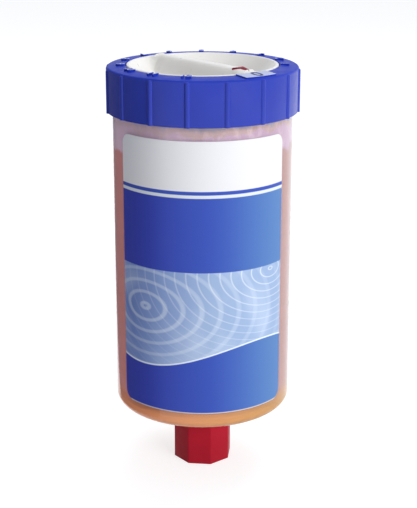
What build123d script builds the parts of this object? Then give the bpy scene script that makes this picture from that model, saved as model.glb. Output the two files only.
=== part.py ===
from build123d import *
import math
import os

# Automatic single-point lubricator, gas driven: a clear screw-in cartridge of lubricant with a follower
# piston, a gas-generator head under a blue top ring, a time-setting dial and a pull-off outlet closure.
# Millimetres. +Z is up and is the axis of the cartridge; -Y is the front, where the label is.
# The origin is the centre of the closure's bottom face, on which the lubricator stands.
# Azimuths are in degrees, from the front (-Y) towards +X, so they grow counter-clockwise from above.

# ---- Clear container -------------------------------------------------------------------------------
CONTAINER_RADIUS = 25.3
CONTAINER_WALL = 1.7
CONTAINER_FLOOR = 1.9
CONTAINER_OUTER_CORNER = 2.4
CONTAINER_INNER_CORNER = 1.2       # bevel between the floor and the bore
CONTAINER_HEIGHT = 94.35           # underside of the floor to the rim
SNAP_BEAD_RISE = 4.6               # lower edge of the top ring to the middle of the snap bead
SNAP_BEAD_HEIGHT = 1.8
SNAP_BEAD_PROUD = 0.4
SNAP_CLEARANCE = 0.1

# ---- Outlet, external taper thread R 1/4, and its closure ------------------------------------------
OUTLET_LENGTH = 16.25
OUTLET_BORE_RADIUS = 2.5
OUTLET_LEAD_CHAMFER = 0.6
THREAD_LENGTH = 11.0
THREAD_GAUGE_RADIUS = 13.157 / 2   # major radius at the gauge plane
THREAD_GAUGE_LENGTH = 6.0          # outlet end to the gauge plane
THREAD_TAPER = 1 / 32              # growth of the radius per millimetre, 1:16 on the diameter
CLOSURE_WALL = 1.2                 # at the middle of a flat, beside the widest thread
CLOSURE_SIDES = 8
CLOSURE_AZIMUTH = 16.2             # azimuth of one corner of the octagon
CLOSURE_FLOOR = 2.0
CLOSURE_CLEARANCE = 0.1            # thread to the closure's bore
CLOSURE_TOP_GAP = 0.15             # closure to the container's underside
CLOSURE_CHAMFER = 0.35
GASKET_THICKNESS = 1.0
GASKET_CLEARANCE = 0.05

# ---- Front label -----------------------------------------------------------------------------------
LABEL_WIDTH = 52.0                 # along the curve
LABEL_TOP_DROP = 3.86              # lower edge of the top ring to the label
LABEL_BOTTOM_RISE = 5.04           # underside of the container to the label
LABEL_THICKNESS = 0.15
LABEL_CORNER = 3.0
LABEL_TRIM_REACH = 3.9             # size of the block that each corner is trimmed with

# ---- Top ring --------------------------------------------------------------------------------------
RING_OVERLAP = 8.1                 # the ring's wall reaches this far down over the container's rim
RING_WALL = 1.45
RING_TOP_EDGE = 0.7                # rounding of the upper outer edge
RING_WEB = 2.6                     # thickness over the housing's flange
RING_TOP_FALL = 0.45               # the top face falls this much from the dial to the outer edge
RING_BORE_CLEARANCE = 0.1          # container to the inside of the ring
RING_DIAL_GAP = 0.25               # dial to the opening of the ring
RIB_COUNT = 16
RIB_AZIMUTH = -8.5                 # azimuth of one grip rib
RIB_RADIUS = 0.85
RIB_PROUD = 0.45
RIB_TOP_DROP = 0.3                 # ribs end this far below the top of the ring's wall
RIB_TOP_CHAMFER = 0.45
PAD_AZIMUTH = 37.5                 # the zero mark's raised pad
PAD_WIDTH = 10.2
PAD_ROOT = 1.3                     # the pad's block starts this far below the ring's top
PAD_PROUD = 0.35
PAD_INNER_GAP = 0.15               # pad to the ring's opening
PAD_OUTER_GAP = 0.9                # pad to the ring's outer edge

# ---- Time-setting dial -----------------------------------------------------------------------------
DIAL_PROUD = 0.05                  # rim of the dial above the ring's inner edge
DIAL_RIM_WIDTH = 0.9
DIAL_WALL = 1.4
DIAL_BOWL_DEPTH = 5.0
DIAL_BOWL_RUN = 4.8                # width of the bowl's sloping wall, seen from above
DIAL_BOWL_ROUND = 5.0
DIAL_SKIRT_WALL = 2.0
DIAL_FLANGE_PROUD = 1.25
DIAL_AXIAL_PLAY = 0.05
DIAL_RUNNING_CLEARANCE = 0.05
DIAL_AZIMUTH = 40.0                # the grip bar points near the zero pad at rest
GRIP_TOP_WIDTH = 4.8
GRIP_FOOT_WIDTH = 10.4
GRIP_PROUD = 0.65                  # grip bar above the rim of the dial
GRIP_TOP_ROUND = 1.6
GRIP_FOOT_ROUND = 2.6
GRIP_ROOT = 0.7                    # the grip bar's block starts this far below the bowl's floor
GRIP_END_INSET = 0.9               # the bar's top falls to the rim over this width
ARROW_TIP_INSET = 0.9              # rim of the bowl to the tip
ARROW_LENGTH = 4.8
ARROW_WIDTH = 4.2
ARROW_DEPTH = 0.7
ARROW_PROUD = 0.12
ARROW_CLEARANCE = 0.04
STAKE_RADIUS = 1.2
STAKE_LENGTH = 0.85
STAKE_CLEARANCE = 0.05

# ---- Gas-generator housing -------------------------------------------------------------------------
HOUSING_GAP = 0.1                  # housing to the container's inner wall
HOUSING_WALL = 2.1                 # round the gas cells
HOUSING_UPPER_WALL = 2.25          # round the board and the dial's skirt
HOUSING_FLOOR = 1.0
HOUSING_FLANGE = 2.1
HOUSING_FLANGE_INSET = 0.05        # flange edge inside the container's outer surface
HOUSING_SHOULDER_RISE = 0.3        # container's rim to the shoulder under the dial's flange
HOUSING_LEDGE = 1.5
LEDGE_WIDTH = 1.3
POST_COUNT = 3
POST_INSET = 2.55                  # edge of the ledge to the axis of each screw post
POST_RADIUS = 2.0
VENT_PLACE = 10.5                  # axis to the gas vent, towards the back
VENT_RADIUS = 0.8
VENT_RECESS_RADIUS = 3.2
VENT_RECESS_DEPTH = 0.4
MEMBRANE_THICKNESS = 0.3
MEMBRANE_CLEARANCE = 0.1

# ---- Gas cells, circuit board and contacts ---------------------------------------------------------
CELL_RADIUS = 5.8
CELL_HEIGHT = 5.4
CELL_STEP_RADIUS = 5.1
CELL_STEP_HEIGHT = 0.7
CELL_OFFSET = 6.7                  # axis to each cell
CRADLE_CLEARANCE = 0.15
CRADLE_WALL = 1.0
CRADLE_HEIGHT = 4.6
BRIDGE_THICKNESS = 0.3
BRIDGE_LENGTH = 20.0
BRIDGE_WIDTH = 4.0
BRIDGE_CLEARANCE = 0.1
CONTACT_THICKNESS = 0.3
CONTACT_LENGTH = 8.0
CONTACT_WIDTH = 3.0
BOARD_THICKNESS = 1.2
BOARD_CLEARANCE = 0.25
BOARD_SKIRT_GAP = 0.6              # board to the lower edge of the dial's skirt
WIPER_SPACE = 1.05                 # board to the underside of the dial
SETTING_COUNT = 12
SETTING_PITCH = 24.0
SETTING_FIRST_AZIMUTH = 85.0
CONTACT_PAD_INSET = 9.4            # edge of the board to the middle of each contact pad
CONTACT_PAD_LENGTH = 2.4
CONTACT_PAD_WIDTH = 1.6
CONTACT_PAD_THICKNESS = 0.1
RESISTOR_INSET = 5.0               # edge of the board to the middle of each resistor
RESISTOR_LENGTH = 2.0
RESISTOR_WIDTH = 1.25
RESISTOR_HEIGHT = 0.5
WIPER_THICKNESS = 0.3
WIPER_HUB_RADIUS = 3.2
WIPER_WIDTH = 2.4
WIPER_TIP_RADIUS = 0.7
WIPER_TIP_GAP = 0.05               # contact tip to the contact pads
SCREW_HEAD_RADIUS = 1.6
SCREW_HEAD_GAP = 0.15              # screw heads to the underside of the dial
SCREW_SHANK_RADIUS = 0.9
SCREW_LENGTH = 4.6
SCREW_CLEARANCE = 0.05
SCREW_RECESS_LENGTH = 1.6
SCREW_RECESS_WIDTH = 0.5
SCREW_RECESS_DEPTH = 0.5

# ---- Follower piston and seals ---------------------------------------------------------------------
PISTON_GAS_GAP = 0.5               # housing floor to the piston at rest
PISTON_HEIGHT = 7.6
PISTON_CLEARANCE = 0.08
PISTON_PLATE = 1.8
PISTON_SKIRT = 2.9
PISTON_EDGE = 1.2                  # bevel of the lower edge, seen from above
PISTON_EDGE_RISE = 0.6
PISTON_RIB_COUNT = 8
PISTON_RIB_THICKNESS = 1.2
PISTON_RIB_DROP = 1.8              # ribs end this far below the piston's top
PISTON_RIB_ROOT = 0.9              # ribs reach this far into the plate and the skirt
PISTON_HUB_RADIUS = 4.0
GROOVE_DEPTH = 1.4
GROOVE_HEIGHT = 1.7
LOWER_GROOVE_RISE = 2.1            # piston's underside to the middle of the lower groove
UPPER_GROOVE_DROP = 1.7            # piston's top to the middle of the upper groove
HOUSING_GROOVE_DEPTH = 1.1
HOUSING_GROOVE_HEIGHT = 1.3
DIAL_GROOVE_DEPTH = 0.9
DIAL_GROOVE_HEIGHT = 1.1
SEAL_PLAY = 0.03                   # each seal to its groove's floor and to the wall that it runs on
SEAL_SIDE_PLAY = 0.1               # each seal to the sides of its groove
CUT_OVERSHOOT = 1.0                # cutting shapes run past the surface that they cut by this much
LUBRICANT_CLEARANCE = 0.05

# ---- Heights and radii that follow -----------------------------------------------------------------
BASE_Z = CLOSURE_FLOOR + GASKET_THICKNESS + OUTLET_LENGTH
RIM_Z = BASE_Z + CONTAINER_HEIGHT
RING_Z = RIM_Z - RING_OVERLAP
WEB_Z = RIM_Z + HOUSING_FLANGE
RING_TOP_Z = WEB_Z + RING_WEB
DIAL_TOP_Z = RING_TOP_Z + DIAL_PROUD
BOWL_FLOOR_Z = DIAL_TOP_Z - DIAL_BOWL_DEPTH
DIAL_UNDER_Z = BOWL_FLOOR_Z - DIAL_WALL
GRIP_TOP_Z = DIAL_TOP_Z + GRIP_PROUD
BOARD_TOP_Z = DIAL_UNDER_Z - WIPER_SPACE
BOARD_Z = BOARD_TOP_Z - BOARD_THICKNESS
SKIRT_Z = BOARD_TOP_Z + BOARD_SKIRT_GAP
SHOULDER_Z = RIM_Z + HOUSING_SHOULDER_RISE
CELL_TOP_Z = BOARD_Z - CONTACT_THICKNESS
CELL_Z = CELL_TOP_Z - CELL_HEIGHT
HOUSING_FLOOR_Z = CELL_Z - BRIDGE_THICKNESS
HOUSING_Z = HOUSING_FLOOR_Z - HOUSING_FLOOR
PISTON_TOP_Z = HOUSING_Z - PISTON_GAS_GAP
PISTON_Z = PISTON_TOP_Z - PISTON_HEIGHT
FLOOR_Z = BASE_Z + CONTAINER_FLOOR
OUTLET_Z = BASE_Z - OUTLET_LENGTH
THREAD_TOP_Z = OUTLET_Z + THREAD_LENGTH
CONTAINER_BORE = CONTAINER_RADIUS - CONTAINER_WALL
HOUSING_RADIUS = CONTAINER_BORE - HOUSING_GAP
HOUSING_BORE = HOUSING_RADIUS - HOUSING_UPPER_WALL
DIAL_RADIUS = HOUSING_BORE - DIAL_RUNNING_CLEARANCE
DIAL_FLANGE_RADIUS = DIAL_RADIUS + DIAL_FLANGE_PROUD
BOWL_RIM_RADIUS = DIAL_RADIUS - DIAL_RIM_WIDTH
BOWL_FLOOR_RADIUS = BOWL_RIM_RADIUS - DIAL_BOWL_RUN
LEDGE_RADIUS = HOUSING_BORE - LEDGE_WIDTH
POST_PLACE_RADIUS = LEDGE_RADIUS - POST_INSET
BOARD_RADIUS = HOUSING_BORE - BOARD_CLEARANCE
CONTACT_PAD_PLACE_RADIUS = BOARD_RADIUS - CONTACT_PAD_INSET
RESISTOR_PLACE_RADIUS = BOARD_RADIUS - RESISTOR_INSET
PISTON_RADIUS = CONTAINER_BORE - PISTON_CLEARANCE
RING_BORE = CONTAINER_RADIUS + RING_BORE_CLEARANCE
RING_RADIUS = RING_BORE + RING_WALL
RING_OPENING = DIAL_RADIUS + RING_DIAL_GAP
HOUSING_GROOVE_Z = BOARD_Z - HOUSING_LEDGE / 2
DIAL_GROOVE_Z = (SKIRT_Z + SHOULDER_Z) / 2


def outline(points, rounds=()):
    """Closed outline through (radius, height) points, with the named corners rounded."""
    face = make_face(Polyline(*points, close=True))
    for corner, radius in rounds:
        place = Vector(*corner)
        nearest = min(face.vertices(), key=lambda vertex: (Vector(*vertex) - place).length)
        face = fillet(nearest, radius)
    return face


def turned(points, rounds=()):
    """One full turn of an outline about the Z axis."""
    return revolve(Plane.XZ * outline(points, rounds), Axis.Z)


def disc(radius, low, high):
    """Upright cylinder on the Z axis between two heights."""
    return Pos(0, 0, low) * Cylinder(radius, high - low, align=(Align.CENTER, Align.CENTER, Align.MIN))


def bar(length, width, low, high):
    """Upright block centred on the Z axis between two heights: length along X, width along Y."""
    return Pos(0, 0, low) * Box(length, width, high - low, align=(Align.CENTER, Align.CENTER, Align.MIN))


def at_azimuth(azimuth, radius, shape):
    """The shape, built on the Z axis, moved out by radius so that its +X side faces outwards."""
    return Rot(0, 0, azimuth - 90) * Pos(radius, 0, 0) * shape


def square_ring(inner, outer, height, middle):
    """Ring of rectangular section round the Z axis, between two radii."""
    low = middle - height / 2
    high = middle + height / 2
    return turned([(inner, low), (outer, low), (outer, high), (inner, high)])


def groove(wall_radius, depth, height, middle):
    """Square ring groove cut into a cylindrical surface from outside."""
    return square_ring(wall_radius - depth, wall_radius + CUT_OVERSHOOT, height, middle)


def groove_seal(groove_radius, wall_radius, groove_height, middle):
    """Square-cut sealing ring between a groove's floor and the wall that it runs on."""
    inner = groove_radius + SEAL_PLAY
    outer = wall_radius - SEAL_PLAY
    return square_ring(inner, outer, groove_height - 2 * SEAL_SIDE_PLAY, middle)


def thread_radius(z):
    """Major radius of the taper thread at a height, level from its last full turn upwards."""
    rise = min(z - OUTLET_Z, THREAD_LENGTH)
    return THREAD_GAUGE_RADIUS + (rise - THREAD_GAUGE_LENGTH) * THREAD_TAPER


def container():
    """Clear moulded cartridge: wall, floor, threaded outlet and the snap bead that the ring clips over."""
    bead_z = RING_Z + SNAP_BEAD_RISE
    bead_foot = SNAP_BEAD_HEIGHT / 2
    corner = (CONTAINER_RADIUS, BASE_Z)
    return turned(
        [
            (OUTLET_BORE_RADIUS, OUTLET_Z),
            (thread_radius(OUTLET_Z) - OUTLET_LEAD_CHAMFER, OUTLET_Z),
            (thread_radius(OUTLET_Z), OUTLET_Z + OUTLET_LEAD_CHAMFER),
            (thread_radius(THREAD_TOP_Z), THREAD_TOP_Z),
            (thread_radius(THREAD_TOP_Z), BASE_Z),
            corner,
            (CONTAINER_RADIUS, bead_z - bead_foot),
            (CONTAINER_RADIUS + SNAP_BEAD_PROUD, bead_z),
            (CONTAINER_RADIUS, bead_z + bead_foot),
            (CONTAINER_RADIUS, RIM_Z),
            (CONTAINER_BORE, RIM_Z),
            (CONTAINER_BORE, FLOOR_Z + CONTAINER_INNER_CORNER),
            (CONTAINER_BORE - CONTAINER_INNER_CORNER, FLOOR_Z),
            (OUTLET_BORE_RADIUS, FLOOR_Z),
        ],
        rounds=[(corner, CONTAINER_OUTER_CORNER)],
    )


def lubricant_fill():
    """The charge of lubricant between the container's floor and the piston."""
    radius = CONTAINER_BORE - LUBRICANT_CLEARANCE
    low = FLOOR_Z + LUBRICANT_CLEARANCE
    return turned([
        (0, low),
        (radius - CONTAINER_INNER_CORNER, low),
        (radius, low + CONTAINER_INNER_CORNER),
        (radius, PISTON_Z),
        (0, PISTON_Z),
    ])


def front_label():
    """Curved paper label round the front of the container, with rounded corners."""
    outer = CONTAINER_RADIUS + LABEL_THICKNESS
    sweep = math.degrees(LABEL_WIDTH / outer)
    top = RING_Z - LABEL_TOP_DROP
    bottom = BASE_Z + LABEL_BOTTOM_RISE
    section = Plane.XZ * outline([
        (CONTAINER_RADIUS, bottom),
        (outer, bottom),
        (outer, top),
        (CONTAINER_RADIUS, top),
    ])
    sheet = Rot(0, 0, -90 - sweep / 2) * revolve(section, Axis.Z, sweep)
    corner_azimuth = sweep / 2 - math.degrees(LABEL_CORNER / outer)
    for side in (-1, 1):
        for end, place_z in ((1, top - LABEL_CORNER), (-1, bottom + LABEL_CORNER)):
            trim = Pos(0, 0, place_z) * corner_trim(side, end)
            sheet -= at_azimuth(side * corner_azimuth, outer, trim)
    return sheet


def corner_trim(side, end):
    """What is cut off one corner of the label: a square block less the corner's round."""
    reach = LABEL_TRIM_REACH
    thickness = 2 * LABEL_CORNER
    block = Pos(0, side * reach / 2, end * reach / 2) * Box(thickness, reach, reach)
    return block - Rot(0, 90, 0) * Cylinder(LABEL_CORNER, thickness)


def closure_cap():
    """Octagonal screw-on closure over the outlet thread."""
    top = BASE_Z - CLOSURE_TOP_GAP
    narrow = thread_radius(OUTLET_Z) + CLOSURE_CLEARANCE
    wide = thread_radius(THREAD_TOP_Z) + CLOSURE_CLEARANCE
    corner_radius = (wide + CLOSURE_WALL) / math.cos(math.pi / CLOSURE_SIDES)
    octagon = Rot(0, 0, CLOSURE_AZIMUTH - 90) * RegularPolygon(corner_radius, CLOSURE_SIDES)
    body = extrude(octagon, top)
    body = chamfer(body.faces().sort_by(Axis.Z)[0].edges(), CLOSURE_CHAMFER)
    return body - turned([
        (0, CLOSURE_FLOOR),
        (narrow, CLOSURE_FLOOR),
        (narrow, OUTLET_Z),
        (wide, THREAD_TOP_Z),
        (wide, top + CUT_OVERSHOOT),
        (0, top + CUT_OVERSHOOT),
    ])


def cap_gasket():
    """Flat sealing disc in the closure, pressed by the end of the outlet."""
    radius = thread_radius(OUTLET_Z) + CLOSURE_CLEARANCE - GASKET_CLEARANCE
    return disc(radius, CLOSURE_FLOOR, OUTLET_Z)


def ring_top_height(radius):
    """Height of the ring's slightly conical top face at a radius."""
    share = (radius - RING_OPENING) / (RING_RADIUS - RING_OPENING)
    return RING_TOP_Z - RING_TOP_FALL * share


def top_ring():
    """Ribbed grip ring that holds the housing down, with the raised pad of the zero mark."""
    outer_edge = (RING_RADIUS, ring_top_height(RING_RADIUS))
    ring = turned(
        [(0, RING_Z), (RING_RADIUS, RING_Z), outer_edge, (RING_OPENING, RING_TOP_Z), (0, RING_TOP_Z)],
        rounds=[(outer_edge, RING_TOP_EDGE)],
    )
    rib_place = RING_RADIUS + RIB_PROUD - RIB_RADIUS
    rib_top_z = ring_top_height(RING_RADIUS) - RIB_TOP_DROP
    rib_bar = disc(RIB_RADIUS, RING_Z, rib_top_z)
    rib_bar = chamfer(rib_bar.faces().sort_by(Axis.Z)[-1].edges(), RIB_TOP_CHAMFER)
    for rib in range(RIB_COUNT):
        azimuth = RIB_AZIMUTH + 360 / RIB_COUNT * rib
        ring += at_azimuth(azimuth, rib_place, rib_bar)
    return ring + zero_pad() - ring_bore()


def ring_bore():
    """The inside of the ring: its opening, the room for the container and the groove of the snap bead."""
    bead_z = RING_Z + SNAP_BEAD_RISE
    groove_foot = SNAP_BEAD_HEIGHT / 2 + SNAP_CLEARANCE
    return turned([
        (0, RING_Z),
        (RING_BORE, RING_Z),
        (RING_BORE, bead_z - groove_foot),
        (RING_BORE + SNAP_BEAD_PROUD, bead_z),
        (RING_BORE, bead_z + groove_foot),
        (RING_BORE, WEB_Z),
        (RING_OPENING, WEB_Z),
        (RING_OPENING, RING_TOP_Z),
        (0, RING_TOP_Z),
    ])


def zero_pad():
    """Raised block of the zero mark: its top falls with the ring's, its ends follow the ring's edges."""
    inner = RING_OPENING + PAD_INNER_GAP
    outer = RING_RADIUS - PAD_OUTER_GAP
    low = RING_TOP_Z - PAD_ROOT
    block = bar(outer - inner, PAD_WIDTH, low, RING_TOP_Z + PAD_PROUD)
    band = turned([
        (inner, low),
        (outer, low),
        (outer, ring_top_height(outer) + PAD_PROUD),
        (inner, ring_top_height(inner) + PAD_PROUD),
    ])
    return at_azimuth(PAD_AZIMUTH, (inner + outer) / 2, block) & band


def grip_section():
    """Cross-section of the dial's grip bar, with its flanks run out into the bowl's floor."""
    foot = GRIP_FOOT_WIDTH / 2
    top = GRIP_TOP_WIDTH / 2
    reach = foot + GRIP_FOOT_ROUND
    low = BOWL_FLOOR_Z - GRIP_ROOT
    return outline(
        [
            (-reach, low),
            (reach, low),
            (reach, BOWL_FLOOR_Z),
            (foot, BOWL_FLOOR_Z),
            (top, GRIP_TOP_Z),
            (-top, GRIP_TOP_Z),
            (-foot, BOWL_FLOOR_Z),
            (-reach, BOWL_FLOOR_Z),
        ],
        rounds=[
            ((foot, BOWL_FLOOR_Z), GRIP_FOOT_ROUND),
            ((-foot, BOWL_FLOOR_Z), GRIP_FOOT_ROUND),
            ((top, GRIP_TOP_Z), GRIP_TOP_ROUND),
            ((-top, GRIP_TOP_Z), GRIP_TOP_ROUND),
        ],
    )


def arrow_shape(grow):
    """Outline of the pointer along +X, made larger all round by grow."""
    tip = BOWL_RIM_RADIUS - ARROW_TIP_INSET
    tail = tip - ARROW_LENGTH
    half = ARROW_WIDTH / 2
    triangle = make_face(Polyline((tip, 0), (tail, half), (tail, -half), close=True))
    return offset(triangle, grow, kind=Kind.INTERSECTION) if grow else triangle


def arrow_pointer(low, high, grow):
    """The pointer or its pocket between two heights, turned to the grip bar's azimuth."""
    solid = Pos(0, 0, low) * extrude(arrow_shape(grow), high - low)
    return Rot(0, 0, DIAL_AZIMUTH - 90) * solid


def time_dial():
    """Moulded dial: a bowl with a grip bar across it, a skirt that turns in the housing and a stake."""
    skirt_bore = DIAL_RADIUS - DIAL_SKIRT_WALL
    slope = DIAL_BOWL_DEPTH / DIAL_BOWL_RUN
    drop = DIAL_WALL * math.hypot(1, slope)
    under_radius = BOWL_FLOOR_RADIUS + (drop - DIAL_WALL) / slope
    skirt_top = BOWL_FLOOR_Z + (skirt_bore - BOWL_FLOOR_RADIUS) * slope - drop
    flange_low = SHOULDER_Z + DIAL_AXIAL_PLAY
    flange_high = WEB_Z - DIAL_AXIAL_PLAY
    block = turned([
        (0, DIAL_UNDER_Z),
        (under_radius, DIAL_UNDER_Z),
        (skirt_bore, skirt_top),
        (skirt_bore, SKIRT_Z),
        (DIAL_RADIUS, SKIRT_Z),
        (DIAL_RADIUS, flange_low),
        (DIAL_FLANGE_RADIUS, flange_low),
        (DIAL_FLANGE_RADIUS, flange_high),
        (DIAL_RADIUS, flange_high),
        (DIAL_RADIUS, DIAL_TOP_Z),
        (0, DIAL_TOP_Z),
    ])
    bowl_foot = (BOWL_FLOOR_RADIUS, BOWL_FLOOR_Z)
    bowl = turned(
        [
            (0, BOWL_FLOOR_Z),
            bowl_foot,
            (BOWL_RIM_RADIUS, DIAL_TOP_Z),
            (BOWL_RIM_RADIUS, DIAL_TOP_Z + CUT_OVERSHOOT),
            (0, DIAL_TOP_Z + CUT_OVERSHOOT),
        ],
        rounds=[(bowl_foot, DIAL_BOWL_ROUND)],
    )
    length = 2 * BOWL_RIM_RADIUS
    ridge = Pos(-length / 2, 0, 0) * extrude(Plane.YZ * grip_section(), length)
    ridge_limit = turned([
        (0, BOWL_FLOOR_Z - GRIP_ROOT),
        (BOWL_FLOOR_RADIUS, BOWL_FLOOR_Z - GRIP_ROOT),
        (BOWL_RIM_RADIUS, DIAL_TOP_Z - GRIP_ROOT),
        (BOWL_RIM_RADIUS, DIAL_TOP_Z),
        (BOWL_RIM_RADIUS - GRIP_END_INSET, GRIP_TOP_Z),
        (0, GRIP_TOP_Z),
    ])
    ridge = Rot(0, 0, DIAL_AZIMUTH - 90) * ridge & ridge_limit
    stake = disc(STAKE_RADIUS, DIAL_UNDER_Z - STAKE_LENGTH, BOWL_FLOOR_Z)
    dial = block - bowl + ridge + stake
    dial -= groove(DIAL_RADIUS, DIAL_GROOVE_DEPTH, DIAL_GROOVE_HEIGHT, DIAL_GROOVE_Z)
    return dial - arrow_pointer(GRIP_TOP_Z - ARROW_DEPTH, GRIP_TOP_Z + CUT_OVERSHOOT, ARROW_CLEARANCE)


def dial_arrow():
    """Red pointer set into the end of the grip bar."""
    return arrow_pointer(GRIP_TOP_Z - ARROW_DEPTH, GRIP_TOP_Z + ARROW_PROUD, 0)


def contact_wiper():
    """Sprung contact under the dial: a hub on the stake and an arm whose tip runs over the pads."""
    low = DIAL_UNDER_Z - WIPER_THICKNESS
    tip_z = BOARD_TOP_Z + CONTACT_PAD_THICKNESS + WIPER_TIP_GAP
    reach = CONTACT_PAD_PLACE_RADIUS
    arm = Pos(reach / 2, 0, 0) * bar(reach, WIPER_WIDTH, low, DIAL_UNDER_Z)
    arm += Pos(reach, 0, 0) * disc(WIPER_WIDTH / 2, low, DIAL_UNDER_Z)
    arm += Pos(reach, 0, 0) * disc(WIPER_TIP_RADIUS, tip_z, low)
    arm += disc(WIPER_HUB_RADIUS, low, DIAL_UNDER_Z)
    arm -= disc(STAKE_RADIUS + STAKE_CLEARANCE, low, DIAL_UNDER_Z)
    return Rot(0, 0, DIAL_AZIMUTH - 90) * arm


def post_azimuths():
    """Azimuths of the housing's screw posts, the first at the front."""
    return [360 / POST_COUNT * post for post in range(POST_COUNT)]


def generator_housing():
    """Cup that closes the container and holds the gas generator, with its screw posts and vent."""
    lower_bore = HOUSING_RADIUS - HOUSING_WALL
    counterbore = DIAL_FLANGE_RADIUS + DIAL_AXIAL_PLAY
    cup = turned([
        (0, HOUSING_Z),
        (HOUSING_RADIUS, HOUSING_Z),
        (HOUSING_RADIUS, RIM_Z),
        (CONTAINER_RADIUS - HOUSING_FLANGE_INSET, RIM_Z),
        (CONTAINER_RADIUS - HOUSING_FLANGE_INSET, WEB_Z),
        (counterbore, WEB_Z),
        (counterbore, SHOULDER_Z),
        (HOUSING_BORE, SHOULDER_Z),
        (HOUSING_BORE, BOARD_Z),
        (LEDGE_RADIUS, BOARD_Z),
        (LEDGE_RADIUS, BOARD_Z - HOUSING_LEDGE),
        (lower_bore, BOARD_Z - HOUSING_LEDGE - LEDGE_WIDTH),
        (lower_bore, HOUSING_FLOOR_Z),
        (0, HOUSING_FLOOR_Z),
    ])
    post = disc(POST_RADIUS, HOUSING_FLOOR_Z, BOARD_Z)
    post_bore_z = BOARD_TOP_Z - SCREW_LENGTH - SCREW_CLEARANCE
    post_bore = disc(SCREW_SHANK_RADIUS + SCREW_CLEARANCE, post_bore_z, BOARD_Z)
    for azimuth in post_azimuths():
        cup += at_azimuth(azimuth, POST_PLACE_RADIUS, post)
        cup -= at_azimuth(azimuth, POST_PLACE_RADIUS, post_bore)
    cup -= groove(HOUSING_RADIUS, HOUSING_GROOVE_DEPTH, HOUSING_GROOVE_HEIGHT, HOUSING_GROOVE_Z)
    vent = disc(VENT_RADIUS, HOUSING_Z, HOUSING_FLOOR_Z)
    vent += disc(VENT_RECESS_RADIUS, HOUSING_Z, HOUSING_Z + VENT_RECESS_DEPTH)
    return cup - Pos(0, VENT_PLACE, 0) * vent


def vent_membrane():
    """Gas-permeable disc in the recess under the housing's vent."""
    high = HOUSING_Z + VENT_RECESS_DEPTH
    radius = VENT_RECESS_RADIUS - MEMBRANE_CLEARANCE
    return Pos(0, VENT_PLACE, 0) * disc(radius, high - MEMBRANE_THICKNESS, high)


def gas_cell(side):
    """One round gas cell, its stepped terminal down on the bridge; side is -1 for left, 1 for right."""
    shape = turned([
        (0, CELL_Z),
        (CELL_STEP_RADIUS, CELL_Z),
        (CELL_STEP_RADIUS, CELL_Z + CELL_STEP_HEIGHT),
        (CELL_RADIUS, CELL_Z + CELL_STEP_HEIGHT),
        (CELL_RADIUS, CELL_TOP_Z),
        (0, CELL_TOP_Z),
    ])
    return Pos(side * CELL_OFFSET, 0, 0) * shape


def cell_cradle():
    """Two joined collars that hold the cells upright on the housing's floor."""
    inner = CELL_RADIUS + CRADLE_CLEARANCE
    high = HOUSING_FLOOR_Z + CRADLE_HEIGHT
    cradle = Part()
    for side in (-1, 1):
        cradle += Pos(side * CELL_OFFSET, 0, 0) * disc(inner + CRADLE_WALL, HOUSING_FLOOR_Z, high)
    for side in (-1, 1):
        cradle -= Pos(side * CELL_OFFSET, 0, 0) * disc(inner, HOUSING_FLOOR_Z, high)
    slot_width = BRIDGE_WIDTH + 2 * BRIDGE_CLEARANCE
    slot_top = HOUSING_FLOOR_Z + BRIDGE_THICKNESS + BRIDGE_CLEARANCE
    return cradle - bar(BRIDGE_LENGTH, slot_width, HOUSING_FLOOR_Z, slot_top)


def cell_bridge():
    """Flat strip on the housing's floor that joins the two cells."""
    return bar(BRIDGE_LENGTH, BRIDGE_WIDTH, HOUSING_FLOOR_Z, CELL_Z)


def cell_contact(side):
    """Contact strip between one cell and the circuit board."""
    return Pos(side * CELL_OFFSET, 0, 0) * bar(CONTACT_WIDTH, CONTACT_LENGTH, CELL_TOP_Z, BOARD_Z)


def circuit_board():
    """Round board on the housing's ledge, with a hole for each screw."""
    board = disc(BOARD_RADIUS, BOARD_Z, BOARD_TOP_Z)
    hole = disc(SCREW_SHANK_RADIUS + SCREW_CLEARANCE, BOARD_Z, BOARD_TOP_Z)
    for azimuth in post_azimuths():
        board -= at_azimuth(azimuth, POST_PLACE_RADIUS, hole)
    return board


def setting_pads():
    """Contact pads on the board, one for each month on the dial."""
    pad = bar(CONTACT_PAD_LENGTH, CONTACT_PAD_WIDTH, BOARD_TOP_Z, BOARD_TOP_Z + CONTACT_PAD_THICKNESS)
    azimuths = [SETTING_FIRST_AZIMUTH + SETTING_PITCH * month for month in range(SETTING_COUNT)]
    return Compound(children=[at_azimuth(azimuth, CONTACT_PAD_PLACE_RADIUS, pad) for azimuth in azimuths])


def time_resistors():
    """Chip resistors under the board, one for each contact pad, between the screw posts."""
    chip = bar(RESISTOR_LENGTH, RESISTOR_WIDTH, BOARD_Z - RESISTOR_HEIGHT, BOARD_Z)
    pitch = 360 / SETTING_COUNT
    azimuths = [pitch / 2 + pitch * month for month in range(SETTING_COUNT)]
    return Compound(children=[at_azimuth(azimuth, RESISTOR_PLACE_RADIUS, chip) for azimuth in azimuths])


def board_screws():
    """Three small pan-head screws that hold the board down on its posts."""
    head_top = DIAL_UNDER_Z - SCREW_HEAD_GAP
    screw = disc(SCREW_HEAD_RADIUS, BOARD_TOP_Z, head_top)
    screw += disc(SCREW_SHANK_RADIUS, BOARD_TOP_Z - SCREW_LENGTH, BOARD_TOP_Z)
    slot = bar(SCREW_RECESS_LENGTH, SCREW_RECESS_WIDTH, head_top - SCREW_RECESS_DEPTH, head_top)
    screw -= slot
    screw -= Rot(0, 0, 90) * slot
    places = post_azimuths()
    return Compound(children=[at_azimuth(azimuth, POST_PLACE_RADIUS, screw) for azimuth in places])


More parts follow.
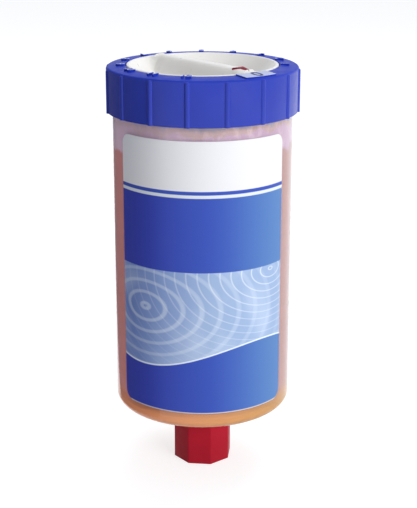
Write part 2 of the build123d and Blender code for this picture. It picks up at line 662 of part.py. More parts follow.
def piston():
    """Follower piston: a ribbed cup, open upwards, with two seal grooves."""
    body = turned([
        (0, PISTON_Z),
        (PISTON_RADIUS - PISTON_EDGE, PISTON_Z),
        (PISTON_RADIUS, PISTON_Z + PISTON_EDGE_RISE),
        (PISTON_RADIUS, PISTON_TOP_Z),
        (PISTON_RADIUS - PISTON_SKIRT, PISTON_TOP_Z),
        (PISTON_RADIUS - PISTON_SKIRT, PISTON_Z + PISTON_PLATE),
        (0, PISTON_Z + PISTON_PLATE),
    ])
    rib_low = PISTON_Z + PISTON_PLATE - PISTON_RIB_ROOT
    rib_high = PISTON_TOP_Z - PISTON_RIB_DROP
    rib_reach = PISTON_RADIUS - PISTON_SKIRT + PISTON_RIB_ROOT
    rib = Pos(rib_reach / 2, 0, 0) * bar(rib_reach, PISTON_RIB_THICKNESS, rib_low, rib_high)
    for number in range(PISTON_RIB_COUNT):
        body += Rot(0, 0, 360 / PISTON_RIB_COUNT * number) * rib
    body += disc(PISTON_HUB_RADIUS, rib_low, rib_high)
    body -= groove(PISTON_RADIUS, GROOVE_DEPTH, GROOVE_HEIGHT, PISTON_Z + LOWER_GROOVE_RISE)
    return body - groove(PISTON_RADIUS, GROOVE_DEPTH, GROOVE_HEIGHT, PISTON_TOP_Z - UPPER_GROOVE_DROP)


def piston_seal(middle):
    """Sealing ring in one of the piston's grooves."""
    return groove_seal(PISTON_RADIUS - GROOVE_DEPTH, CONTAINER_BORE, GROOVE_HEIGHT, middle)


def housing_seal():
    """Sealing ring between the housing and the container's wall."""
    groove_radius = HOUSING_RADIUS - HOUSING_GROOVE_DEPTH
    return groove_seal(groove_radius, CONTAINER_BORE, HOUSING_GROOVE_HEIGHT, HOUSING_GROOVE_Z)


def dial_seal():
    """Sealing ring between the dial's skirt and the housing."""
    groove_radius = DIAL_RADIUS - DIAL_GROOVE_DEPTH
    return groove_seal(groove_radius, HOUSING_BORE, DIAL_GROOVE_HEIGHT, DIAL_GROOVE_Z)


pieces = {
    "container": container(),
    "lubricant_fill": lubricant_fill(),
    "front_label": front_label(),
    "closure_cap": closure_cap(),
    "cap_gasket": cap_gasket(),
    "top_ring": top_ring(),
    "time_dial": time_dial(),
    "dial_arrow": dial_arrow(),
    "dial_seal": dial_seal(),
    "contact_wiper": contact_wiper(),
    "generator_housing": generator_housing(),
    "housing_seal": housing_seal(),
    "vent_membrane": vent_membrane(),
    "gas_cell_left": gas_cell(-1),
    "gas_cell_right": gas_cell(1),
    "cell_cradle": cell_cradle(),
    "cell_bridge": cell_bridge(),
    "cell_contact_left": cell_contact(-1),
    "cell_contact_right": cell_contact(1),
    "circuit_board": circuit_board(),
    "setting_pads": setting_pads(),
    "time_resistors": time_resistors(),
    "board_screws": board_screws(),
    "piston": piston(),
    "piston_seal_lower": piston_seal(PISTON_Z + LOWER_GROOVE_RISE),
    "piston_seal_upper": piston_seal(PISTON_TOP_Z - UPPER_GROOVE_DROP),
}

os.makedirs("parts", exist_ok=True)
for name, shape in pieces.items():
    export_step(shape, f"parts/{name}.step")
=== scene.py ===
import math

import bpy
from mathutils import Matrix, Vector


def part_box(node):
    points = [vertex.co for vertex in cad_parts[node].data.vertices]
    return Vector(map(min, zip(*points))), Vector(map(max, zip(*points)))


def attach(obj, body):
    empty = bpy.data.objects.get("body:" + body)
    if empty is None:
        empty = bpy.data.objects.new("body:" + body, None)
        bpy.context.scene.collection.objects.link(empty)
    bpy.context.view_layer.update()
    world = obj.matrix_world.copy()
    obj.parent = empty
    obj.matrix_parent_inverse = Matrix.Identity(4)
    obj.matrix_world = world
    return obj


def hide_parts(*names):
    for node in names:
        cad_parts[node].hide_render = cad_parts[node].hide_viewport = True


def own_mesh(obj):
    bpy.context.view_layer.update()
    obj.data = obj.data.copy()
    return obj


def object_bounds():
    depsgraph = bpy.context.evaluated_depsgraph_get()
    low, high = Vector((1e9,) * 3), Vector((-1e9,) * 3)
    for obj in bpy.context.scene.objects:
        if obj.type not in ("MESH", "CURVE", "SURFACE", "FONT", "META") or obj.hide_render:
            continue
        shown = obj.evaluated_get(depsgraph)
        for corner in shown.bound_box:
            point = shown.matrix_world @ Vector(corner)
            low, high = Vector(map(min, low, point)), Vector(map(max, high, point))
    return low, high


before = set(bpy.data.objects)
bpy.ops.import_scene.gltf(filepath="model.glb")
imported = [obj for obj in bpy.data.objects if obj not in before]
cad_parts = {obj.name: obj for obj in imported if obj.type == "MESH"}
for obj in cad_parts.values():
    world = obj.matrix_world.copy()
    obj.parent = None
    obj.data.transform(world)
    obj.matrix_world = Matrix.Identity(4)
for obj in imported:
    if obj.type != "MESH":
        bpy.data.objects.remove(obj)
cad_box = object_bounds()

# Metres, in the part's own frame: +Z up the cartridge's axis, -Y towards the label. Azimuths are in
# degrees, counter-clockwise from above, with 0 at the front.
MM = 0.001
ROUND_STEPS = 128                # faces round a turned piece
WELD = 0.002 * MM                # points closer than this are one point
SMOOTH_ANGLE = math.radians(28)

# ---- Sizes of the pieces, each beside the place that the frame gives ---------------------------------
# Label, round the front of the container
LABEL_THICKNESS = 0.15 * MM
LABEL_CORNER = 3.0 * MM
LABEL_CORNER_STEPS = 10
LABEL_STRIPS = 72                # flat strips that the sheet is bent in

# Label print, in millimetres up from the label's lower edge or across from its middle
PRINT_SOFTNESS = 0.08            # softness of a printed edge
HEAD_FOOT = 63.75                # white head, with a blue rule and a pale stripe under it
RULE_FOOT = 62.8
STRIPE_FOOT = 61.9
PANEL_TOP = 41.1
PANEL_FOOT = 16.8
PANEL_SWELL = 3.6                # rise and fall of the panel's wavy foot
PANEL_WAVE = 74                  # length of its wave
PANEL_EDGE = 0.45                # pale line along it
LABEL_MARGIN = 0.25              # greyer strip at the label's foot
RING_SQUASH = 1.6                # the panel's rings are flatter than circles by this

# Container, with its outlet at the foot and its snap bead under the ring
BODY_RADIUS = -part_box("front_label")[0].y - LABEL_THICKNESS
BODY_CORNER = 2.4 * MM
BODY_WALL = 1.7 * MM
BODY_FLOOR = 1.9 * MM
FLOOR_BEVEL = 1.2 * MM
BASE_GAP = 0.15 * MM             # closure to the container's underside
BASE_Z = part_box("closure_cap")[1].z + BASE_GAP
FLOOR_Z = BASE_Z + BODY_FLOOR
OUTLET_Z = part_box("container")[0].z
RIM_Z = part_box("container")[1].z
RIM_ROUND = 0.3 * MM
OUTLET_BORE = 2.5 * MM
OUTLET_MOUTH_ROUND = 0.4 * MM
THREAD_END_RADIUS = 6.391 * MM   # crest of the thread at the outlet's end
THREAD_TAPER = 1 / 32
THREAD_LENGTH = 11.0 * MM
THREAD_TOP_Z = OUTLET_Z + THREAD_LENGTH
THREAD_PITCH = 1.337 * MM
THREAD_DEPTH = 0.75 * MM
THREAD_SKIN = 0.3 * MM           # points this close to the crest belong to the thread
THREAD_CUTS = 95                 # rings of points that the thread is drawn with
LEAD_CHAMFER = 0.6 * MM

# Charge and the film above it
CHARGE_SKIN = 0.5 * MM           # clear plastic left round the charge's foot
CHARGE_WETTING = 0.09 * MM       # the drawn charge reaches this far into the wall
CHARGE_FOOT_HEIGHT = 1.5 * MM    # its wide foot ends here above the container's floor,
CHARGE_WALL_HEIGHT = 3.5 * MM    # and from here it fills the bore
CHARGE_ROUND = 0.5 * MM
CHARGE_TOP_ROUND = 0.1 * MM
FILM_INNER_GAP = 0.01 * MM       # outside the piston
FILM_WETTING = 0.02 * MM
FILM_LAP = 0.6 * MM              # film below the charge's top
FILM_TOP_GAP = 0.5 * MM          # under the ring

# Closure, on the outlet
CLOSURE_CLEARANCE = 0.1 * MM
CLOSURE_WALL = 1.2 * MM
CLOSURE_BASE = 2.0 * MM
CLOSURE_EDGE = 0.22 * MM
CLOSURE_TURN = 16.2              # degrees that its corners are turned by
CLOSURE_SMOOTH = math.radians(20)
CLOSURE_STEPS = 64
CUT_OVERSHOOT = 1.0 * MM

# Top ring, with its ribs, pad and figures
RING_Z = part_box("top_ring")[0].z
RING_RADIUS = 26.85 * MM
RING_OPENING = 21.45 * MM
RING_BORE = 25.4 * MM
RING_WEB = 2.6 * MM
RING_FALL = 0.45 * MM            # the top face falls this much from the opening to the edge
RING_EDGE = 0.7 * MM
RING_FOOT = 0.12 * MM
RING_ROUND = 0.2 * MM
RING_STEPS = 192
SNAP_Z = RING_Z + 4.6 * MM       # middle of the bead and of its groove
SNAP_RISE = 0.4 * MM
SNAP_ROUND = 0.3 * MM
SNAP_BEAD_HALF = 0.9 * MM
SNAP_GROOVE_HALF = 1.0 * MM
RIB_COUNT = 16
RIB_AZIMUTH = -8.5
RIB_RADIUS = 0.85 * MM
RIB_PROUD = 0.45 * MM
RIB_INSET = 0.003 * MM           # keeps the drawn ribs inside the moulded ones
RIB_TOP_DROP = 0.3 * MM
RIB_DOME = 0.5 * MM
RIB_STEPS = 32
PAD_AZIMUTH = 37.5               # middle of the zero pad
PAD_WIDTH = 10.2 * MM
PAD_ROOT = 1.3 * MM
PAD_PROUD = 0.35 * MM
PAD_EDGE = 0.12 * MM
PAD_INNER_GAP = 0.15 * MM
PAD_INNER_RADIUS = RING_OPENING + PAD_INNER_GAP
PAD_OUTER_RADIUS = RING_RADIUS - 0.9 * MM
PAD_INNER_DROP = RING_FALL * PAD_INNER_GAP / (RING_RADIUS - RING_OPENING)
PAD_PRINT_DEPTH = 0.1 * MM       # the pad's print covers what lies this near its top
RING_TOP_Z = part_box("top_ring")[1].z - PAD_PROUD + PAD_INNER_DROP
RING_WEB_Z = RING_TOP_Z - RING_WEB
NUMERAL_FIRST_AZIMUTH = 85.0
NUMERAL_PITCH = 24.0
NUMERAL_COUNT = 12
NUMERAL_PLACE_RADIUS = 23.0 * MM
NUMERAL_SIZE = 3.4 * MM
NUMERAL_WEIGHT = 0.05 * MM       # strokes are thickened by this at each side
NUMERAL_ROOT = 0.25 * MM
NUMERAL_PROUD = 0.55 * MM
PRINT_OVERLAP = 0.06 * MM        # the numerals' print reaches this far down their sides
ZERO_SIZE = 5.6 * MM
ZERO_WEIGHT = 0.12 * MM
ZERO_THICKNESS = 0.07 * MM
ZERO_SUNK = 0.05 * MM

# Dial, with its bowl, grip bar and pointer
DIAL_TOP_Z = RING_TOP_Z + 0.05 * MM
DIAL_RADIUS = 21.2 * MM
DIAL_RIM = 0.9 * MM
DIAL_ROUND = 0.3 * MM
DIAL_STEPS = 256
DIAL_SMOOTH = math.radians(40)
BOWL_RIM_RADIUS = DIAL_RADIUS - DIAL_RIM
BOWL_FLOOR_RADIUS = 15.5 * MM
BOWL_DEPTH = 5.0 * MM
BOWL_FLOOR_Z = DIAL_TOP_Z - BOWL_DEPTH
BOWL_ROUND = 5.0 * MM
BOWL_WALL_FOOT = 4.0 * MM        # the wall is cut from this far inside the floor's edge
BOWL_WALL_INSET = 0.1 * MM       # to this far inside the rim
BOWL_FLOOR_CUTS = 50
BOWL_WALL_CUTS = 11
DIAL_WALL = 1.4 * MM
DIAL_AZIMUTH = 40.0
SKIRT_WALL = 2.0 * MM
SKIRT_ROUND = 0.2 * MM
SKIRT_GAP = 0.6 * MM             # above the circuit board
FLANGE_REACH = 1.25 * MM
FLANGE_RIM_GAP = 0.35 * MM
FLANGE_WEB_GAP = 0.05 * MM
GRIP_TOP_Z = DIAL_TOP_Z + 0.65 * MM
GRIP_TOP_HALF = 2.4 * MM
GRIP_FOOT_HALF = 5.2 * MM
GRIP_END_RADIUS = BOWL_RIM_RADIUS - 0.9 * MM
GRIP_CREST_BLEND = 3.2 * MM
GRIP_FOOT_BLEND = 2.0 * MM
GRIP_END_BLEND = 0.02 * MM
BOWL_SKIN = 0.05 * MM            # only points this far inside the bowl are drawn up
ARROW_TIP_RADIUS = BOWL_RIM_RADIUS - 0.9 * MM
ARROW_LENGTH = 4.8 * MM
ARROW_WIDTH = 4.2 * MM
ARROW_EDGE = 0.22 * MM

# Studio
FLOOR_SIZE = 6
FLOOR_GLOW = 0.72                # brings the floor up to white where it is looked at
WORLD_LIGHT = 0.48               # what the surroundings give as light; 1 is white
FLAG_SIZE = 0.22
FLAG_PLACE = (-0.055, 0.07, 0.11)
FLAG_TURN = 97
CAMERA_PLACE = (0, -0.3414, RING_Z + 0.0665)
CAMERA_PITCH = 15.13
CAMERA_LENS = 87.6
CAMERA_SHIFT = (0.0118, -0.111)


# ---- Modelling helpers -------------------------------------------------------------------------------
def deselect():
    """Leaves object mode clean: nothing selected, nothing half edited."""
    if bpy.context.object and bpy.context.object.mode != "OBJECT":
        bpy.ops.object.mode_set(mode="OBJECT")
    bpy.ops.object.select_all(action="DESELECT")


def take(piece):
    """Makes one piece the only selected and active one."""
    deselect()
    piece.select_set(True)
    bpy.context.view_layer.objects.active = piece


def edit(piece, mode="VERT"):
    """Opens one piece in edit mode."""
    take(piece)
    bpy.ops.object.mode_set(mode="EDIT")
    bpy.ops.mesh.select_mode(type=mode)


def settle(piece):
    """Puts the piece's place, turn and size into its mesh."""
    take(piece)
    bpy.ops.object.transform_apply(location=True, rotation=True, scale=True)


def pick(piece, chosen, mode="VERT"):
    """Selects the points or faces that chosen(place or face) names, and goes back to edit mode."""
    edit(piece, mode)
    bpy.ops.mesh.select_all(action="DESELECT")
    bpy.ops.object.mode_set(mode="OBJECT")
    if mode == "VERT":
        for point in piece.data.vertices:
            point.select = chosen(point.co)
    else:
        for face in piece.data.polygons:
            face.select = chosen(face)
    bpy.ops.object.mode_set(mode="EDIT")


def close_up(piece):
    """Merges doubles and turns every face outwards."""
    edit(piece)
    bpy.ops.mesh.select_all(action="SELECT")
    bpy.ops.mesh.remove_doubles(threshold=WELD)
    bpy.ops.mesh.normals_make_consistent(inside=False)
    bpy.ops.object.mode_set(mode="OBJECT")


def smooth(piece, angle=SMOOTH_ANGLE):
    """Shades smooth, except over edges sharper than the angle."""
    take(piece)
    bpy.ops.object.shade_smooth_by_angle(angle=angle)


def apply_modifier(piece, kind, **settings):
    """Adds one modifier with its settings and applies it."""
    take(piece)
    modifier = piece.modifiers.new(kind.lower(), kind)
    for name, value in settings.items():
        setattr(modifier, name, value)
    bpy.ops.object.modifier_apply(modifier=modifier.name)


def combine(piece, tool, operation):
    """Joins, cuts or intersects the piece with a tool piece, which is used up."""
    apply_modifier(piece, "BOOLEAN", object=tool, operation=operation, solver="EXACT")
    bpy.data.objects.remove(tool)
    return piece


def join(first, *others):
    """Makes several pieces one object."""
    take(first)
    for other in others:
        other.select_set(True)
    bpy.ops.object.join()
    return first


def profile(name, corners):
    """Closed wire section through (radius, height, rounding) corners, drawn from one point."""
    start = corners[0]
    deselect()
    bpy.ops.mesh.primitive_plane_add(size=MM, location=(start[0], 0, start[1]))
    section = bpy.context.object
    section.name = name
    settle(section)
    edit(section)
    bpy.ops.mesh.select_all(action="SELECT")
    bpy.ops.mesh.merge(type="CENTER")
    for here, there in zip(corners, corners[1:]):
        step = (there[0] - here[0], 0, there[1] - here[1])
        bpy.ops.mesh.extrude_vertices_move(TRANSFORM_OT_translate={"value": step})
    ends = [Vector((corner[0], 0, corner[1])) for corner in (start, corners[-1])]
    pick(section, lambda place: any((place - end).length < WELD for end in ends))
    bpy.ops.mesh.edge_face_add()
    for number, corner in enumerate(corners):
        if corner[2]:
            round_corner(section, corners, number)
    return section


def round_corner(section, corners, number):
    """Rounds one corner of a wire section to the corner's radius."""
    before, corner, after = (
        Vector(corners[(number + turn) % len(corners)][:2]) for turn in (-1, 0, 1)
    )
    rounding = corners[number][2]
    angle = (before - corner).angle(after - corner)
    place = Vector((corner.x, 0, corner.y))
    pick(section, lambda point: (point - place).length < WELD)
    bpy.ops.mesh.bevel(
        affect="VERTICES",
        offset=rounding / math.tan(angle / 2),
        offset_type="OFFSET",
        segments=max(3, round(rounding / MM * 2) + 4),
        clamp_overlap=False,
    )


def turn(section, steps=ROUND_STEPS, angle=2 * math.pi):
    """Spins a wire section about the Z axis into a closed solid."""
    edit(section)
    bpy.ops.mesh.select_all(action="SELECT")
    bpy.ops.mesh.spin(steps=steps, angle=angle, center=(0, 0, 0), axis=(0, 0, 1))
    close_up(section)
    return section


def turned(name, corners, steps=ROUND_STEPS):
    """A solid of revolution, rounded where its corners say so."""
    piece = turn(profile(name, corners), steps)
    smooth(piece)
    return piece


def divide(section, low, high, cuts):
    """Cuts the part of a wire section that lies between two places into equal lengths."""
    pick(section, lambda place: low[0] <= place.x <= high[0] and low[1] <= place.z <= high[1])
    bpy.ops.mesh.select_mode(type="EDGE")
    bpy.ops.mesh.subdivide(number_cuts=cuts)
    bpy.ops.object.mode_set(mode="OBJECT")


def paint(piece, *materials):
    """Gives the piece these materials in place of any that it has."""
    piece.data.materials.clear()
    for material in materials:
        piece.data.materials.append(material)


def direction(azimuth):
    """Unit vector at an azimuth."""
    angle = math.radians(azimuth)
    return Vector((math.sin(angle), -math.cos(angle), 0))


def turn_to(azimuth):
    """Turn about Z that brings +X to an azimuth."""
    return math.radians(azimuth - 90)


# ---- Materials ---------------------------------------------------------------------------------------
class Finish:
    """A material's node tree, with short ways to add what its surface needs."""

    def __init__(self, name, colour, roughness, **more):
        self.material = bpy.data.materials.new(name)
        self.material.use_nodes = True
        self.tree = self.material.node_tree
        self.shader = self.tree.nodes["Principled BSDF"]
        self.shader.inputs["Base Color"].default_value = (*colour, 1)
        self.shader.inputs["Roughness"].default_value = roughness
        for socket, value in more.items():
            self.shader.inputs[socket.replace("_", " ")].default_value = value
        self.place = self.node("ShaderNodeTexCoord").outputs["Object"]
        self.height = None

    def node(self, kind, **settings):
        made = self.tree.nodes.new(kind)
        for name, value in settings.items():
            setattr(made, name, value)
        return made

    def link(self, output, socket):
        self.tree.links.new(output, socket)

    def axis(self, name):
        """Height or side of a point, in metres along one axis."""
        split = self.node("ShaderNodeSeparateXYZ")
        self.link(self.place, split.inputs[0])
        return split.outputs[name]

    def math(self, operation, first, second=None):
        """Sum, product or other step on sockets and numbers."""
        made = self.node("ShaderNodeMath", operation=operation)
        for socket, value in zip(made.inputs, (first, second)):
            if value is None:
                continue
            if isinstance(value, (int, float)):
                socket.default_value = value
            else:
                self.link(value, socket)
        return made.outputs[0]

    def times(self, first, second):
        return self.math("MULTIPLY", first, second)

    def rest(self, share):
        """What a share leaves of 1."""
        return self.math("SUBTRACT", 1.0, share)

    def range(self, value, low, high, to_low=0.0, to_high=1.0, smooth_step=False):
        """Carries a value from one range to another, and holds it at the ends."""
        made = self.node("ShaderNodeMapRange", clamp=True)
        if smooth_step:
            made.interpolation_type = "SMOOTHSTEP"
        self.link(value, made.inputs["Value"])
        sockets = ("From Min", "From Max", "To Min", "To Max")
        for socket, number in zip(sockets, (low, high, to_low, to_high)):
            made.inputs[socket].default_value = number
        return made.outputs["Result"]

    def stretched(self, scale):
        """Object place, scaled along each axis."""
        mapping = self.node("ShaderNodeMapping")
        mapping.inputs["Scale"].default_value = scale
        self.link(self.place, mapping.inputs["Vector"])
        return mapping.outputs["Vector"]

    def noise(self, size, detail=3.0, rough=0.5, stretch=(1, 1, 1)):
        """Soft noise whose features are about size metres across."""
        made = self.node("ShaderNodeTexNoise")
        made.inputs["Scale"].default_value = 1 / size
        made.inputs["Detail"].default_value = detail
        made.inputs["Roughness"].default_value = rough
        self.link(self.stretched(stretch), made.inputs["Vector"])
        return made.outputs["Fac"]

    def mix(self, share, first, second):
        """Colour between two others, each a socket or three numbers."""
        made = self.node("ShaderNodeMix", data_type="RGBA")
        self.link(share, made.inputs["Factor"])
        for socket, colour in ((made.inputs[6], first), (made.inputs[7], second)):
            if isinstance(colour, tuple):
                socket.default_value = (*colour, 1)
            else:
                self.link(colour, socket)
        return made.outputs[2]

    def colour(self, socket):
        self.link(socket, self.shader.inputs["Base Color"])

    def roughness(self, pattern, low, high):
        self.link(self.range(pattern, 0.3, 0.7, low, high), self.shader.inputs["Roughness"])

    def bump(self, pattern, depth):
        """Raises the surface by up to depth metres, on top of any bump made before."""
        made = self.node("ShaderNodeBump")
        made.inputs["Strength"].default_value = 1.0
        made.inputs["Distance"].default_value = depth
        self.link(pattern, made.inputs["Height"])
        if self.height:
            self.link(self.height, made.inputs["Normal"])
        self.height = made.outputs["Normal"]
        self.link(self.height, self.shader.inputs["Normal"])


def moulded(name, colour, shade, roughness=(0.3, 0.42), grain=0.004 * MM, **more):
    """Injection-moulded plastic: slight tone drift, fine spark-eroded grain and faint waviness."""
    finish = Finish(name, colour, roughness[0], **more)
    finish.colour(finish.mix(finish.range(finish.noise(14 * MM, 2), 0.35, 0.65), colour, shade))
    finish.roughness(finish.noise(2.2 * MM, 4, 0.6), *roughness)
    finish.bump(finish.noise(0.22 * MM, 2), grain)
    finish.bump(finish.noise(6 * MM, 1), 0.02 * MM)
    return finish


def metal(name, colour, shade, roughness, brushing):
    """Bright metal with brushed streaks along one axis."""
    finish = Finish(name, colour, roughness, Metallic=1.0)
    finish.colour(finish.mix(finish.noise(3 * MM), colour, shade))
    streaks = finish.noise(0.3 * MM, 2, stretch=brushing)
    finish.roughness(streaks, roughness, roughness + 0.15)
    finish.bump(streaks, 0.004 * MM)
    return finish


def clear_plastic():
    """Clear moulded container, slightly hazed; lamps reach what is behind it."""
    tint = (0.985, 0.965, 0.968)
    finish = Finish("clear_plastic", tint, 0.08, Transmission_Weight=1.0, IOR=1.49)
    finish.roughness(finish.noise(5 * MM, 3), 0.05, 0.12)
    finish.bump(finish.noise(9 * MM, 1, stretch=(1, 1, 0.4)), 0.02 * MM)
    rays = finish.node("ShaderNodeLightPath")
    through = finish.node("ShaderNodeBsdfTransparent")
    through.inputs["Color"].default_value = (0.95, 0.92, 0.92, 1)
    both = finish.node("ShaderNodeMixShader")
    finish.link(rays.outputs["Is Shadow Ray"], both.inputs[0])
    finish.link(finish.shader.outputs[0], both.inputs[1])
    finish.link(through.outputs[0], both.inputs[2])
    finish.link(both.outputs[0], finish.tree.nodes["Material Output"].inputs["Surface"])
    return finish.material


# Paste tones with painted light and shade: lighter at the left, darker at the right.
PASTE_PAINTED_LIGHT_TONES = (0.68, 0.27, 0.25), (0.30, 0.165, 0.148)    # at the left and at the right


def paste_painted_light_and_shade(finish, left, right):
    """Painted light and shade across the paste: one tone at the left, another at the right, with soft
    drift.
    """
    rightward = finish.range(finish.axis("X"), -BODY_RADIUS, BODY_RADIUS)
    drift = finish.math("ADD", rightward, finish.times(finish.noise(18 * MM, 3), 0.2))
    return finish.mix(finish.range(drift, 0.1, 1.1), left, right)


def lubricant_paste():
    """Amber paste against the container's wall: orange at its foot, pinkish above, with painted light
    at the left and painted shade at the right.
    """
    finish = Finish("lubricant_paste", (0.62, 0.33, 0.24), 0.35, Specular_IOR_Level=0.3)
    rising = finish.range(finish.axis("Z"), FLOOR_Z + 1 * MM, FLOOR_Z + 6 * MM, smooth_step=True)
    # Lighter at the left and darker at the right, at the foot and above it: painted light and shade.
    low = paste_painted_light_and_shade(finish, (0.74, 0.275, 0.12), (0.36, 0.20, 0.038))
    high = paste_painted_light_and_shade(finish, *PASTE_PAINTED_LIGHT_TONES)
    finish.colour(finish.mix(rising, low, high))
    finish.roughness(finish.noise(4 * MM), 0.3, 0.5)
    finish.bump(finish.noise(3 * MM, 3), 0.05 * MM)
    return finish.material


def above(finish, value, level):
    """1 above a level on the label and 0 below it, with a soft printed edge."""
    return finish.range(value, level - PRINT_SOFTNESS, level + PRINT_SOFTNESS)


def between(finish, value, low, high):
    """1 between two levels on the label."""
    return finish.times(above(finish, value, low), finish.rest(above(finish, value, high)))


def wave(finish, value, length):
    """Sine wave of a length."""
    return finish.math("SINE", finish.times(value, 2 * math.pi / length))


def ringed(finish, across, up, centre, pitch, softness):
    """Soft rings round a place on the label, fainter the further they are from it."""
    dx = finish.math("SUBTRACT", across, centre[0])
    dy = finish.times(finish.math("SUBTRACT", up, centre[1]), RING_SQUASH)
    reach = finish.math("SQRT", finish.math("ADD", finish.times(dx, dx), finish.times(dy, dy)))
    lines = finish.range(wave(finish, reach, pitch), softness, 1.0, smooth_step=True)
    return finish.times(lines, finish.range(reach, 3, 46, 1.0, 0.15))


def panel_art(finish, across, up, share):
    """The pale panel: a tinted ground with soft glows and two sets of rings on it."""
    art = finish.mix(finish.range(share, 0.0, 0.55), (0.15, 0.235, 0.58), (0.34, 0.46, 0.68))
    glow = finish.noise(16 * MM, 2, stretch=(1, 1, 0.7))
    for pattern, strength, tone in (
        (finish.range(glow, 0.42, 0.68, smooth_step=True), 0.42, (0.66, 0.76, 0.92)),
        (ringed(finish, across, up, (-17.0, 30.0), 5.2, 0.35), 0.40, (0.80, 0.88, 0.97)),
        (ringed(finish, across, up, (21.0, 40.0), 3.1, 0.82), 0.5, (0.90, 0.95, 1.0)),
    ):
        art = finish.mix(finish.times(pattern, strength), art, tone)
    return art


def label_print(width, height):
    """Printed label: white head, double rule, blue field and a pale panel of soft rings."""
    finish = Finish("label_print", (1, 1, 1), 0.4, Specular_IOR_Level=0.22)
    split = finish.node("ShaderNodeSeparateXYZ")
    finish.link(finish.node("ShaderNodeUVMap", uv_map="print").outputs["UV"], split.inputs[0])
    across = finish.times(finish.math("SUBTRACT", split.outputs["X"], 0.5), width / MM)
    up = finish.times(split.outputs["Y"], height / MM)
    share = finish.range(across, -width / MM / 2, width / MM / 2)
    navy, blue, sky = (0.036, 0.054, 0.44), (0.042, 0.088, 0.45), (0.095, 0.22, 0.50)
    field = finish.mix(finish.range(share, 0.05, 0.6, smooth_step=True), navy, blue)
    field = finish.mix(finish.range(share, 0.5, 0.98, smooth_step=True), field, sky)
    foot = finish.math("ADD", finish.times(wave(finish, across, PANEL_WAVE), PANEL_SWELL), PANEL_FOOT)
    lift = finish.math("SUBTRACT", up, foot)
    in_panel = finish.times(above(finish, lift, 0), finish.rest(above(finish, up, PANEL_TOP)))
    colour = finish.mix(in_panel, field, panel_art(finish, across, up, share))
    for part, tone in (
        (between(finish, lift, -PANEL_EDGE, 0.0), (0.78, 0.86, 0.96)),
        (between(finish, up, STRIPE_FOOT, RULE_FOOT), (0.74, 0.79, 0.84)),
        (between(finish, up, HEAD_FOOT, height / MM + 1), (0.83, 0.83, 0.85)),
        (between(finish, up, RULE_FOOT, HEAD_FOOT), blue),
        (finish.rest(above(finish, up, LABEL_MARGIN)), (0.70, 0.66, 0.68)),
    ):
        colour = finish.mix(part, colour, tone)
    finish.colour(colour)
    finish.roughness(finish.noise(3 * MM, 3), 0.34, 0.48)
    finish.bump(finish.noise(0.35 * MM, 2), 0.0015 * MM)
    return finish.material


def circuit_green():
    """Solder mask with the copper's tracks showing as a lighter green."""
    finish = Finish("circuit_green", (0.01, 0.12, 0.05), 0.35)
    tracks = finish.node("ShaderNodeTexWave", wave_type="RINGS", rings_direction="Z")
    tracks.inputs["Scale"].default_value = 160.0
    tracks.inputs["Distortion"].default_value = 2.0
    finish.link(finish.place, tracks.inputs["Vector"])
    lines = finish.range(tracks.outputs["Fac"], 0.72, 0.8)
    finish.colour(finish.mix(lines, (0.01, 0.11, 0.045), (0.03, 0.24, 0.10)))
    finish.roughness(finish.noise(1 * MM), 0.3, 0.45)
    finish.bump(lines, 0.02 * MM)
    return finish.material


def rubber_black():
    finish = Finish("rubber_black", (0.02, 0.02, 0.022), 0.6)
    finish.colour(finish.mix(finish.noise(4 * MM), (0.014, 0.014, 0.016), (0.035, 0.034, 0.036)))
    finish.roughness(finish.noise(1.5 * MM, 4), 0.5, 0.75)
    finish.bump(finish.noise(0.15 * MM), 0.006 * MM)
    return finish.material


def membrane_weave():
    """White fibre disc."""
    finish = Finish("membrane_weave", (0.85, 0.85, 0.84), 0.85)
    fibres = finish.noise(0.18 * MM, 5, 0.7)
    finish.colour(finish.mix(fibres, (0.78, 0.78, 0.77), (0.9, 0.9, 0.89)))
    finish.roughness(fibres, 0.8, 0.95)
    finish.bump(fibres, 0.03 * MM)
    return finish.material


def wall_film():
    """What shows through the wall above the charge: paste, then a mauve and a brown film darkened as
    painted shade under the ring, then grey as the ring's painted shadow; lighter at the left as a
    painted reflection.
    """
    # Mauve and brown are darkened as painted shade under the ring; grey is the ring's painted shadow.
    mauve, brown, grey = (0.44, 0.31, 0.42), (0.42, 0.30, 0.30), (0.30, 0.27, 0.34)
    finish = Finish("wall_film", mauve, 0.5, Specular_IOR_Level=0.3)
    ripple = finish.noise(4.5 * MM, 4, 0.6, stretch=(1, 1, 0.3))
    wander = finish.times(finish.math("SUBTRACT", ripple, 0.5), 7 * MM)
    level = finish.math("ADD", finish.axis("Z"), wander)
    colour = finish.mix(finish.range(level, RING_Z - 2.7 * MM, RING_Z - 2.5 * MM), mauve, brown)
    # Grey just under the ring: painted shadow of the ring.
    colour = finish.mix(finish.range(level, RING_Z - 1.3 * MM, RING_Z - 0.5 * MM), colour, grey)
    # Painted reflection: the film is lighter towards the left.
    left_reflection_mask = finish.range(finish.axis("X"), -BODY_RADIUS, 0, 0.75, 0.0)
    colour = finish.mix(left_reflection_mask, colour, (0.92, 0.68, 0.84))
    blotches = finish.range(finish.noise(2.4 * MM, 3, stretch=(1, 1, 0.6)), 0.5, 0.75, 0.0, 0.35)
    colour = finish.mix(blotches, colour, (0.80, 0.66, 0.72))
    wet = finish.range(level, RING_Z - 9.7 * MM, RING_Z - 8.7 * MM, 1.0, 0.0)
    finish.colour(finish.mix(wet, colour, paste_painted_light_and_shade(finish, *PASTE_PAINTED_LIGHT_TONES)))
    finish.roughness(finish.noise(2 * MM), 0.4, 0.6)
    finish.bump(finish.noise(0.25 * MM), 0.006 * MM)
    return finish.material


PRINT_GRAIN = 0.002 * MM


